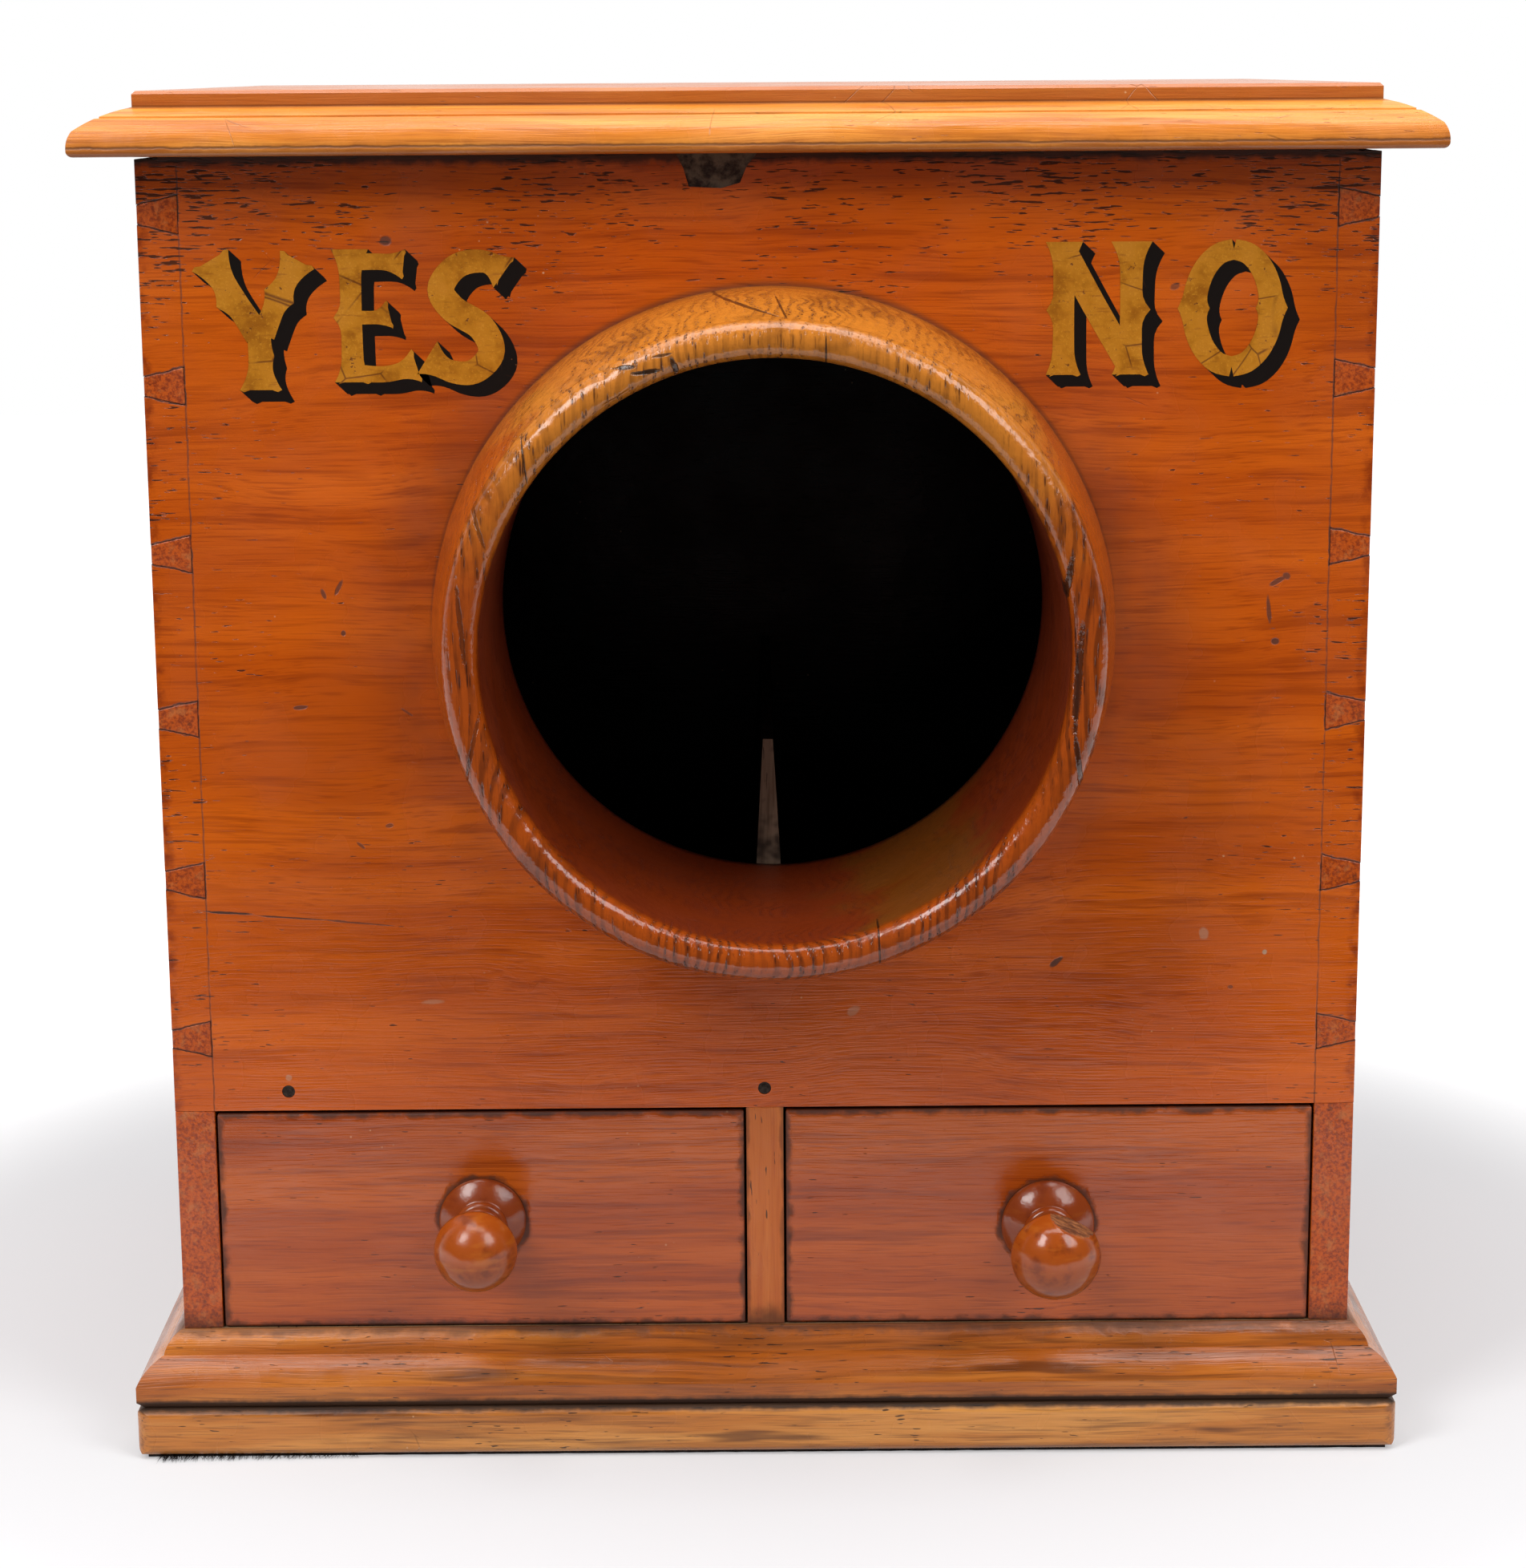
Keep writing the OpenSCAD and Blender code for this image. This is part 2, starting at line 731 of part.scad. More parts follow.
// The right knob has a piece broken from the upper right of its head
module right_drawer_knob() {
    reach = 2 * right_knob_r;
    color(knob_wood) difference() {
        knob(drawer_x, right_knob_z, right_knob_r);
        translate([drawer_x, front_y - knob_out + knob_dome, right_knob_z])
            rotate([0, knob_chip_turn, 0]) rotate([knob_chip_lean, 0, 0])
                translate([-reach / 2, -knob_dome, knob_chip_at]) cube(reach);
    }
}

module left_drawer_front() {
    drawer_front(-drawer_x, left_knob_z);
}

module left_drawer_outer_side() {
    drawer_side(-drawer_x, -1);
}

module left_drawer_inner_side() {
    drawer_side(-drawer_x, 1);
}

module left_drawer_back() {
    drawer_back(-drawer_x);
}

module left_drawer_bottom() {
    drawer_bottom(-drawer_x);
}

module right_drawer_front() {
    drawer_front(drawer_x, right_knob_z);
}

module right_drawer_outer_side() {
    drawer_side(drawer_x, 1);
}

module right_drawer_inner_side() {
    drawer_side(drawer_x, -1);
}

module right_drawer_back() {
    drawer_back(drawer_x);
}

module right_drawer_bottom() {
    drawer_bottom(drawer_x);
}

// One hinge leaf: up is 1 for the lid's leaf and -1 for the body's, with its own knuckles
module hinge_leaf(x, up) {
    first = up > 0 ? 1 : 0;
    low = up > 0 ? top_z + leaf_gap / 2 : top_z - leaf_gap / 2 - leaf_t;
    difference() {
        union() {
            block([x - hinge_len / 2, leaf_in_y, low], [x + hinge_len / 2, leaf_edge_y, low + leaf_t]);
            for (i = [first:2:knuckle_count - 1]) {
                x0 = x - hinge_len / 2 + i * knuckle_len + leaf_gap / 2;
                x1 = x0 + knuckle_len - leaf_gap;
                block([x0, leaf_edge_y - over, low], [x1, hinge_y, low + leaf_t]);
                translate([x0, hinge_y, top_z]) rotate([0, 90, 0]) cylinder(r = knuckle_r, h = x1 - x0);
            }
        }
        translate([x - hinge_len, hinge_y, top_z]) rotate([0, 90, 0])
            cylinder(r = hinge_pin_r + pin_fit, h = 2 * hinge_len);
        screw_set(x, up, pilot_r, screw_head_r + nail_fit);
    }
}

// Three countersunk screws of one leaf; up is 1 in the lid and -1 in the body
module screw_set(x, up, shank_r, head_r) {
    face_z = top_z + up * leaf_gap / 2;
    sink = head_r - shank_r;
    for (i = [-1, 0, 1])
        translate([x + i * screw_pitch, screw_y, face_z]) mirror([0, 0, up > 0 ? 0 : 1]) {
            cylinder(r1 = head_r, r2 = shank_r, h = sink);
            cylinder(r = shank_r, h = screw_len - leaf_gap);
        }
}

module hinge_pin(x) {
    color(brass) translate([x - hinge_len / 2, hinge_y, top_z]) rotate([0, 90, 0])
        cylinder(r = hinge_pin_r, h = hinge_len);
}

module left_hinge_body_leaf() {
    color(brass) hinge_leaf(-hinge_x, -1);
}

module left_hinge_lid_leaf() {
    color(brass) hinge_leaf(-hinge_x, 1);
}

module left_hinge_pin() {
    hinge_pin(-hinge_x);
}

module right_hinge_body_leaf() {
    color(brass) hinge_leaf(hinge_x, -1);
}

module right_hinge_lid_leaf() {
    color(brass) hinge_leaf(hinge_x, 1);
}

module right_hinge_pin() {
    hinge_pin(hinge_x);
}

module body_leaf_screws() {
    color(brass) for (x = [-hinge_x, hinge_x]) screw_set(x, -1, screw_r, screw_head_r);
}

module lid_leaf_screws() {
    color(brass) for (x = [-hinge_x, hinge_x]) screw_set(x, 1, screw_r, screw_head_r);
}

// Outer end of the lid's section, up to the ovolo's crossing with the step
module lid_edge_section(half) {
    field = half - lid_out;
    crest = lid_t - lid_step;
    nose_mid = half - lid_nose_r;
    turn = [sin(lid_swell_turn), cos(lid_swell_turn)];
    intersection() {
        translate([field, crest] - turn * lid_swell_r) circle(lid_swell_r);
        translate([field - over, lid_edge]) square([lid_out + over, crest]);
        union() {
            translate([nose_mid, lid_edge]) circle(lid_nose_r);
            translate([field - over, lid_edge]) square([nose_mid - field + over, crest]);
        }
    }
    translate([field - over, lid_arris_r]) square([lid_out + over, lid_edge - lid_arris_r]);
    translate([field - over, 0]) square([lid_out + over - lid_arris_r, lid_arris_r]);
    translate([half - lid_arris_r, lid_arris_r]) circle(lid_arris_r);
}

// Upright section of the lid: raised field, step, ovolo and lower edge
module lid_section(half) {
    field = half - lid_out;
    translate([0, top_z]) {
        for (side = [0, 1]) mirror([side, 0]) lid_edge_section(half);
        polygon([
            [-field, 0],
            [field, 0],
            [field, lid_t - lid_bevel],
            [field - lid_bevel, lid_t],
            [lid_bevel - field, lid_t],
            [-field, lid_t - lid_bevel]
        ]);
    }
}

module lid() {
    half_x = side_x + lid_out;
    half_y = back_y + lid_out;
    color(lid_wood) difference() {
        intersection() {
            along_y(-half_y, half_y) lid_section(half_x);
            along_x(-half_x, half_x) lid_section(half_y);
        }
        leaf_recesses(top_z - over, top_z + leaf_t + leaf_gap / 2);
        screw_pilots(top_z - over, top_z + screw_len);
        for (x = [-hinge_x, hinge_x])
            translate([x - hinge_len / 2 - knuckle_gap, hinge_y, top_z]) rotate([0, 90, 0])
                cylinder(r = knuckle_r + knuckle_gap, h = hinge_len + 2 * knuckle_gap);
    }
}

base_baize();
base_slab();
plinth_front_moulding();
plinth_back_moulding();
plinth_left_moulding();
plinth_right_moulding();
drawer_floor();
left_side_board();
right_side_board();
back_board();
front_board();
lock_cutout_plug();
front_board_nails();
chamber_floor();
chamber_partition();
drawer_divider();
arm_collar();
left_drawer_front();
left_drawer_outer_side();
left_drawer_inner_side();
left_drawer_back();
left_drawer_bottom();
left_drawer_knob();
right_drawer_front();
right_drawer_outer_side();
right_drawer_inner_side();
right_drawer_back();
right_drawer_bottom();
right_drawer_knob();
left_hinge_body_leaf();
left_hinge_lid_leaf();
left_hinge_pin();
right_hinge_body_leaf();
right_hinge_lid_leaf();
right_hinge_pin();
body_leaf_screws();
lid_leaf_screws();
lid();
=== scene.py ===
"""Looks of a wooden ballot box: varnished boards, a turned collar, knobs, sign-painted words and the stage."""

import math
import random

import bpy
from bpy.props import FloatProperty, FloatVectorProperty, IntProperty, PointerProperty
from mathutils import Matrix, Vector, noise
from mathutils.geometry import convex_hull_2d, delaunay_2d_cdt


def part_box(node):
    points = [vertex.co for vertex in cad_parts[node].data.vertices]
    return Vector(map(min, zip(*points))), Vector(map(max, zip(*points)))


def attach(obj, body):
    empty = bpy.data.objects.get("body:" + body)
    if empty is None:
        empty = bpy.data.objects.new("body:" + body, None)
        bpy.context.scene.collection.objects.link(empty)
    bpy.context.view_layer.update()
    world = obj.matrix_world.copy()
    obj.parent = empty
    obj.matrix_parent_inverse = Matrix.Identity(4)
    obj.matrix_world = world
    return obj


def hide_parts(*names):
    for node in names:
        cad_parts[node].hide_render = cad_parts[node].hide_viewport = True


bl_info = {
    "name": "Ballot Box",
    "version": (1, 0, 0),
    "blender": (4, 5, 0),
    "location": "View3D > Sidebar > Ballot Box",
    "description": "Dresses the frame of a ballot box with worn varnished wood and gilt words",
    "category": "Object",
}

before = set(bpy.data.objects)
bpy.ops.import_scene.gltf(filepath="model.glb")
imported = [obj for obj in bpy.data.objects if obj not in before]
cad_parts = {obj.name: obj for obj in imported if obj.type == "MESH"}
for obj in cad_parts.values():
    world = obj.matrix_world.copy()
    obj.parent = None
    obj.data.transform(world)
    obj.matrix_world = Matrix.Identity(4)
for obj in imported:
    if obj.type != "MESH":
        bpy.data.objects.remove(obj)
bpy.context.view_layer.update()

MM = 0.001

# Places that the frame gives
FRONT_LOW, FRONT_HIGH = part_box("front_board")
COLLAR_LOW, COLLAR_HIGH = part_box("arm_collar")
LID_LOW, LID_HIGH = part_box("lid")
SLAB_LOW, SLAB_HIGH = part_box("base_slab")
DIVIDER_LOW, DIVIDER_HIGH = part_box("drawer_divider")
CHAMBER_LOW, CHAMBER_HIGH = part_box("chamber_floor")
MOULDING_LOW, MOULDING_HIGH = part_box("plinth_front_moulding")
FACE_Y = FRONT_LOW.y
SIDE_X = FRONT_HIGH.x
BOARD_T = FRONT_HIGH.y - FRONT_LOW.y
INNER_X = SIDE_X - BOARD_T
COLLAR_X = (COLLAR_LOW.x + COLLAR_HIGH.x) / 2
COLLAR_Z = (COLLAR_LOW.z + COLLAR_HIGH.z) / 2
COLLAR_OUT = FACE_Y - COLLAR_LOW.y


def length(name, description, default):
    """A size in metres, given here in millimetres."""
    return FloatProperty(
        name=name, description=description, default=default * MM, unit="LENGTH", precision=5
    )


def colour(name, description, default):
    return FloatVectorProperty(
        name=name, description=description, default=default, subtype="COLOR", size=3, min=0, max=1
    )


class BallotBoxSizes(bpy.types.PropertyGroup):
    """Sizes of the pieces that are made here, and of the wear on the boards."""

    bore_radius: length("Bore", "Radius of the collar's bore", 69.8)
    spigot_wall: length("Spigot wall", "Thickness of the collar behind the front board", 5.2)
    spigot_length: length("Spigot", "How far the collar reaches behind the front board's face", 42)
    lip_radius: length("Lip", "Radius of the collar's half-round lip", 4.7)
    lip_cut: length("Lip cut", "How far the bore cuts into the round of the lip", 0.3)
    neck_wall: length("Neck wall", "Thickness of the collar's neck behind the lip", 8.4)
    neck_back: length("Neck place", "Distance of that place from the front of the lip", 9.2)
    neck_swell: length("Neck swell", "Radius of the swell of the neck", 110)
    collar_wobble: length("Collar wobble", "How far the collar is out of true", 0.14)
    knob_dome: length("Knob dome", "Height of a knob's dome, in front of its widest place", 8.4)
    knob_neck: length("Knob neck", "Radius of a knob's neck", 5.3)
    pin_pitch: length("Pin pitch", "Height from one dovetail pin to the next", 41.24)
    first_pin: length("First pin", "From the bottom of the front board to the lowest pin", 19)
    pin_wide: length("Pin root", "Height of a pin at its root", 9.4)
    pin_narrow: length("Pin end", "Height of a pin at the outer face", 4.8)
    joint_line: length("Joint line", "Width of the dirt in the joints", 0.42)
    arris: length("Arris", "Width of the worn arrises of the boards", 0.35)
    letter_height: length("Letters", "Height of the gilt letters", 33.4)
    letter_stem: length("Stem", "Width of a letter's upright stroke", 6.4)
    letter_shade: length("Shade", "How far the black shade falls to the right and down", 3.0)
    paint: length("Paint", "Thickness of the gilding over the shade", 0.05)
    baize: length("Baize", "Thickness of the baize under the base", 0.9)


class BallotBoxColours(bpy.types.PropertyGroup):
    """Colours of the woods, paints and fittings."""

    pine_pale: colour("Pine, pale", "Lightest wood of the front board", (0.60, 0.110, 0.003))
    pine: colour("Pine", "Usual wood of the front board", (0.47, 0.074, 0.0012))
    pine_dark: colour("Pine, dark", "Darkest wood of the front board", (0.22, 0.026, 0.0008))
    lid_pale: colour("Lid, pale", "Lightest wood of the lid", (0.76, 0.30, 0.050))
    lid: colour("Lid", "Usual wood of the lid", (0.60, 0.185, 0.020))
    lid_dark: colour("Lid, dark", "Darkest wood of the lid", (0.28, 0.062, 0.007))
    moulding_pale: colour("Moulding, pale", "Lightest wood of the mouldings", (0.56, 0.18, 0.026))
    moulding: colour("Moulding", "Usual wood of the mouldings", (0.38, 0.095, 0.010))
    slab_pale: colour("Slab, pale", "Lightest wood of the slab", (0.68, 0.29, 0.070))
    slab: colour("Slab", "Usual wood of the slab", (0.52, 0.175, 0.030))
    base_dark: colour("Base, dark", "Darkest streaks of the slab and mouldings", (0.075, 0.018, 0.006))
    drawer_pale: colour("Drawer, pale", "Lightest wood of the drawer fronts", (0.46, 0.088, 0.008))
    drawer: colour("Drawer", "Usual wood of the drawer fronts", (0.36, 0.058, 0.004))
    drawer_dark: colour("Drawer, dark", "Darkest wood of the drawer fronts", (0.17, 0.021, 0.003))
    # The golden top and redder sides of the collar are partly painted light from above.
    oak_pale: colour("Oak, pale", "Golden wood at the top of the collar", (0.50, 0.165, 0.018))
    oak: colour("Oak", "Redder wood at the sides of the collar", (0.33, 0.056, 0.004))
    oak_dark: colour("Oak, dark", "Pores and fissures of the collar", (0.045, 0.009, 0.003))
    bore: colour("Bore", "Dark polish down the bore", (0.16, 0.017, 0.002))
    knob: colour("Knob", "Polish of the knobs", (0.34, 0.064, 0.006))
    knob_dark: colour("Knob, dark", "Polish in the hollows of the knobs", (0.11, 0.014, 0.003))
    bare: colour("Bare wood", "Wood without varnish, inside the box", (0.30, 0.17, 0.085))
    stain: colour("Black stain", "Stain on the walls of the chamber", (0.002, 0.0015, 0.001))
    # The dirt colour also paints shade: under the lid, beside the collar, in the groove over the slab, round the
    # drawers and round the knobs.
    dirt: colour("Dirt", "Dirt in joints, quirks and corners", (0.016, 0.008, 0.005))
    gold: colour("Gilding", "Aged gilding of the letters", (0.56, 0.21, 0.006))
    gold_dark: colour("Gilding, dull", "Rubbed and cracked gilding", (0.32, 0.095, 0.004))
    shade: colour("Shade", "Black paint of the letters' shade", (0.007, 0.004, 0.003))
    filler: colour("Filler", "Stopping in the old lock cut-out", (0.13, 0.095, 0.060))
    brass: colour("Brass", "Tarnished brass of the hinges", (0.42, 0.27, 0.09))
    iron: colour("Iron", "Rusted nails", (0.045, 0.030, 0.022))
    felt: colour("Baize", "Worn baize", (0.030, 0.018, 0.016))


class BallotBoxStage(bpy.types.PropertyGroup):
    """Camera and light."""

    camera_x: length("Camera X", "Camera to the right of the middle", -1.79)
    camera_distance: length("Camera distance", "From the camera to the front board", 838.24)
    camera_height: length("Camera height", "Height of the camera over the table", 349.29)
    pitch: FloatProperty(name="Pitch", description="Camera's downward tilt", default=0.2064, unit="ROTATION")
    yaw: FloatProperty(name="Yaw", description="Camera's turn", default=-0.0023, unit="ROTATION")
    roll: FloatProperty(name="Roll", description="Camera's roll", default=0.0068, unit="ROTATION")
    lens: FloatProperty(name="Lens", description="Focal length in millimetres", default=80.95)
    image_width: IntProperty(name="Width", description="Photograph's width in pixels", default=1904)
    image_height: IntProperty(name="Height", description="Photograph's height in pixels", default=1956)
    key: FloatProperty(name="Key light", description="Power of the light at the left", default=15.0)
    fill: FloatProperty(name="Fill light", description="Power of the light at the right", default=11.0)
    top: FloatProperty(name="Top light", description="Power of the light overhead", default=13.0)
    sky: FloatProperty(name="Room light", description="Strength of the light from all round", default=0.30)


def settings():
    scene = bpy.context.scene
    return scene.ballot_sizes, scene.ballot_colours, scene.ballot_stage


def rgba(value):
    return (value[0], value[1], value[2], 1.0)


# Nodes

class Graph:
    """Writes shader nodes: each call adds one node and returns its first output."""

    def __init__(self, tree):
        self.tree = tree

    def put(self, value, socket):
        if isinstance(value, bpy.types.NodeSocket):
            self.tree.links.new(value, socket)
        elif value is not None:
            socket.default_value = value

    def add(self, kind, inputs=None, **properties):
        node = self.tree.nodes.new(kind)
        for key, value in properties.items():
            setattr(node, key, value)
        for key, value in (inputs or {}).items():
            self.put(value, node.inputs[key])
        return node

    def math(self, operation, a, b=None, c=None, clamp=False):
        node = self.add("ShaderNodeMath", operation=operation, use_clamp=clamp)
        for value, socket in zip((a, b, c), node.inputs):
            self.put(value, socket)
        return node.outputs[0]

    def vector(self, operation, a, b=None, scale=None):
        node = self.add("ShaderNodeVectorMath", operation=operation)
        self.put(a, node.inputs[0])
        self.put(b, node.inputs[1])
        self.put(scale, node.inputs[3])
        return node.outputs["Value" if operation in ("LENGTH", "DISTANCE", "DOT_PRODUCT") else "Vector"]

    def join(self, x=0.0, y=0.0, z=0.0):
        return self.add("ShaderNodeCombineXYZ", {"X": x, "Y": y, "Z": z}).outputs[0]

    def split(self, vector):
        return self.add("ShaderNodeSeparateXYZ", {"Vector": vector}).outputs

    def noise(self, vector, scale, detail=2.0, rough=0.5, bend=0.0):
        inputs = {"Vector": vector, "Scale": scale, "Detail": detail, "Roughness": rough, "Distortion": bend}
        return self.add("ShaderNodeTexNoise", inputs).outputs["Fac"]

    def cells(self, vector, scale, feature="F1", randomness=1.0):
        inputs = {"Vector": vector, "Scale": scale, "Randomness": randomness}
        return self.add("ShaderNodeTexVoronoi", inputs, feature=feature).outputs["Distance"]

    def step(self, value, low, high, to_low=0.0, to_high=1.0):
        inputs = {"Value": value, "From Min": low, "From Max": high, "To Min": to_low, "To Max": to_high}
        return self.add("ShaderNodeMapRange", inputs, interpolation_type="SMOOTHSTEP").outputs[0]

    def mix(self, a, b, factor, blend="MIX"):
        node = self.add("ShaderNodeMix", data_type="RGBA", blend_type=blend)
        self.put(factor, node.inputs["Factor"])
        self.put(a, node.inputs[6])
        self.put(b, node.inputs[7])
        return node.outputs[2]

    def both(self, *masks):
        """The union of masks: where any one of them is strong."""
        total = masks[0]
        for mask in masks[1:]:
            total = self.math("MAXIMUM", total, mask)
        return total

    def group(self, tree, **inputs):
        node = self.add("ShaderNodeGroup", node_tree=tree)
        for key, value in inputs.items():
            self.put(value, node.inputs[key.replace("_", " ").capitalize()])
        return node.outputs


SOCKETS = {"value": "NodeSocketFloat", "vector": "NodeSocketVector", "colour": "NodeSocketColor"}


def new_group(name, inputs, outputs):
    """An empty node group, its Graph, its input sockets by name and its output node."""
    tree = bpy.data.node_groups.new(name, "ShaderNodeTree")
    for title, kind, default in inputs:
        socket = tree.interface.new_socket(title, in_out="INPUT", socket_type=SOCKETS[kind])
        if default is not None:
            socket.default_value = default
    for title, kind in outputs:
        tree.interface.new_socket(title, in_out="OUTPUT", socket_type=SOCKETS[kind])
    graph = Graph(tree)
    given = graph.add("NodeGroupInput").outputs
    given = {title: given[title] for title, kind, default in inputs}
    return tree, graph, given, graph.add("NodeGroupOutput").inputs


def make_figure_group():
    """Figure of sawn wood whose grain runs along the vector's X: broad bands, streaks and fine fibres."""
    tree, g, given, out = new_group(
        "Wood figure",
        [("Vector", "vector", None), ("Bands", "value", 70.0), ("Streaks", "value", 420.0),
         ("Fibres", "value", 2200.0), ("Sway", "value", 0.004)],
        [("Band", "value"), ("Streak", "value"), ("Fibre", "value")],
    )
    x, y, z = g.split(given["Vector"])
    sway = g.noise(g.vector("MULTIPLY", given["Vector"], (12.0, 26.0, 26.0)), 1.0, 2.0)
    sway = g.math("MULTIPLY", g.math("SUBTRACT", sway, 0.5), given["Sway"])
    y = g.math("ADD", y, sway)
    z = g.math("ADD", z, sway)
    g.put(g.noise(g.join(g.math("MULTIPLY", x, 0.06), y, z), given["Bands"], 2.0, 0.5), out["Band"])
    g.put(g.noise(g.join(g.math("MULTIPLY", x, 0.035), y, z), given["Streaks"], 2.0, 0.6), out["Streak"])
    g.put(g.noise(g.join(g.math("MULTIPLY", x, 0.03), y, z), given["Fibres"], 1.0, 0.5), out["Fibre"])
    return tree


def make_dash_group():
    """Short dark dashes along the vector's X: pores and torn fibres that have taken up dirt."""
    tree, g, given, out = new_group(
        "Grain dashes",
        [("Vector", "vector", None), ("Width", "value", 0.00055), ("Length", "value", 0.0045),
         ("Amount", "value", 0.3), ("Cloud", "value", 30.0)],
        [("Mask", "value")],
    )
    x, y, z = g.split(given["Vector"])
    cell = g.join(g.math("DIVIDE", x, given["Length"]), g.math("DIVIDE", y, given["Width"]),
                  g.math("DIVIDE", z, given["Width"]))
    fleck = g.noise(cell, 1.0, 1.0, 0.5)
    cloud = g.noise(given["Vector"], given["Cloud"], 2.0)
    level = g.math("MULTIPLY_ADD", g.math("SUBTRACT", cloud, 0.5), 0.34, g.math("MULTIPLY", given["Amount"], 0.35))
    edge = g.math("SUBTRACT", 0.86, level)
    g.put(g.step(fleck, edge, g.math("ADD", edge, 0.045)), out["Mask"])
    return tree


def make_scratch_group():
    """Fine scratches that run in all directions, and a few chips in the varnish."""
    tree, g, given, out = new_group(
        "Scratches",
        [("Vector", "vector", None), ("Scale", "value", 60.0), ("Width", "value", 0.010), ("Amount", "value", 0.5)],
        [("Mask", "value"), ("Specks", "value")],
    )
    warp = g.add("ShaderNodeTexNoise", {"Vector": given["Vector"], "Scale": 14.0, "Detail": 1.0}).outputs["Color"]
    bent = g.vector("ADD", given["Vector"], g.vector("SCALE", warp, scale=0.02))
    lines = g.cells(bent, given["Scale"], "DISTANCE_TO_EDGE")
    thin = g.math("SUBTRACT", 1.0, g.step(lines, 0.0, given["Width"]))
    where = g.noise(given["Vector"], 45.0, 2.0)
    edge = g.math("SUBTRACT", 0.80, g.math("MULTIPLY", given["Amount"], 0.3))
    g.put(g.math("MULTIPLY", thin, g.step(where, edge, g.math("ADD", edge, 0.05))), out["Mask"])
    specks = g.cells(given["Vector"], g.math("MULTIPLY", given["Scale"], 5.0))
    rare = g.step(where, 0.62, 0.70)
    g.put(g.math("MULTIPLY", g.math("SUBTRACT", 1.0, g.step(specks, 0.05, 0.11)), rare), out["Specks"])
    return tree


def make_varnish_group():
    """Old varnish: its roughness, and its ripples as a height."""
    tree, g, given, out = new_group(
        "Varnish",
        [("Vector", "vector", None), ("Gloss", "value", 0.3), ("Ripple", "value", 160.0)],
        [("Roughness", "value"), ("Height", "value")],
    )
    blotch = g.noise(given["Vector"], 34.0, 3.0, 0.6)
    dull = g.math("MULTIPLY", given["Gloss"], 1.45)
    g.put(g.step(blotch, 0.3, 0.7, g.math("MULTIPLY", given["Gloss"], 0.7), dull), out["Roughness"])
    g.put(g.noise(given["Vector"], given["Ripple"], 2.0, 0.5), out["Height"])
    return tree


def make_mark_group():
    """One mark: an uneven oval round a place in X and Z."""
    tree, g, given, out = new_group(
        "Mark",
        [("Vector", "vector", None), ("Place", "vector", (0, 0, 0)), ("Size", "vector", (1, 1, 1)),
         ("Turn", "value", 0.0), ("Uneven", "value", 0.0)],
        [("Mask", "value")],
    )
    local = g.vector("SUBTRACT", given["Vector"], given["Place"])
    turned = g.add("ShaderNodeVectorRotate", {"Vector": local, "Angle": given["Turn"]}, rotation_type="Y_AXIS")
    x, y, z = g.split(g.vector("DIVIDE", turned.outputs[0], given["Size"]))
    away = g.math("ADD", g.vector("LENGTH", g.join(x, 0.0, z)), given["Uneven"])
    g.put(g.math("SUBTRACT", 1.0, g.step(away, 0.7, 1.15)), out["Mask"])
    return tree


def make_joint_group(sizes):
    """The dovetail joints of both front corners: their outlines, and the end grain of the pins."""
    tree, g, given, out = new_group(
        "Dovetails",
        [("Vector", "vector", None), ("Line", "value", sizes.joint_line)],
        [("Outline", "value"), ("Pins", "value"), ("Edge", "value")],
    )
    rough = g.noise(given["Vector"], 260.0, 3.0, 0.6)
    wander = g.math("MULTIPLY", g.math("SUBTRACT", rough, 0.5), 0.0013)
    x, y, z = g.split(given["Vector"])
    out_x = g.math("ADD", g.math("ABSOLUTE", x), g.math("MULTIPLY", wander, 0.6))
    above = g.math("SUBTRACT", z, FRONT_LOW.z + sizes.first_pin - sizes.pin_pitch / 2)
    turn = g.math("DIVIDE", above, sizes.pin_pitch)
    from_pin = g.math("ABSOLUTE", g.math("SUBTRACT", g.math("FRACT", turn), 0.5))
    from_pin = g.math("MULTIPLY", from_pin, sizes.pin_pitch)
    slope = (sizes.pin_wide - sizes.pin_narrow) / 2 / BOARD_T
    half = g.math("MULTIPLY_ADD", g.math("SUBTRACT", SIDE_X, out_x), slope, sizes.pin_narrow / 2)
    inside = g.math("SUBTRACT", g.math("ADD", from_pin, wander), half)
    in_strip = g.step(out_x, INNER_X - 0.0001, INNER_X + 0.0001)
    in_rows = g.math("MULTIPLY", g.math("GREATER_THAN", above, 0.0), g.math("LESS_THAN", turn, 6.0))
    sloping = g.math("SUBTRACT", 1.0, g.step(g.math("ABSOLUTE", inside), 0.0, given["Line"]))
    sloping = g.math("MULTIPLY", g.math("MULTIPLY", sloping, in_strip), in_rows)
    pins = g.math("MULTIPLY", g.math("MULTIPLY", g.math("LESS_THAN", inside, 0.0), in_strip), in_rows)
    shoulder = g.math("ABSOLUTE", g.math("SUBTRACT", out_x, INNER_X))
    shoulder = g.math("SUBTRACT", 1.0, g.step(shoulder, 0.0, g.math("MULTIPLY", given["Line"], 0.85)))
    at_pin = g.step(inside, 0.0, 0.0006, 1.15, 0.75)
    broken = g.step(rough, 0.28, 0.55, 0.35, 1.0)
    shoulder = g.math("MULTIPLY", g.math("MULTIPLY", shoulder, at_pin), broken, clamp=True)
    above_drawers = g.math("GREATER_THAN", z, FRONT_LOW.z)
    g.put(g.math("MULTIPLY", g.both(sloping, shoulder), above_drawers), out["Outline"])
    g.put(g.math("MULTIPLY", pins, above_drawers), out["Pins"])
    g.put(g.step(g.math("ADD", out_x, g.math("MULTIPLY", wander, 2.5)), SIDE_X - 0.0028, SIDE_X), out["Edge"])
    return tree


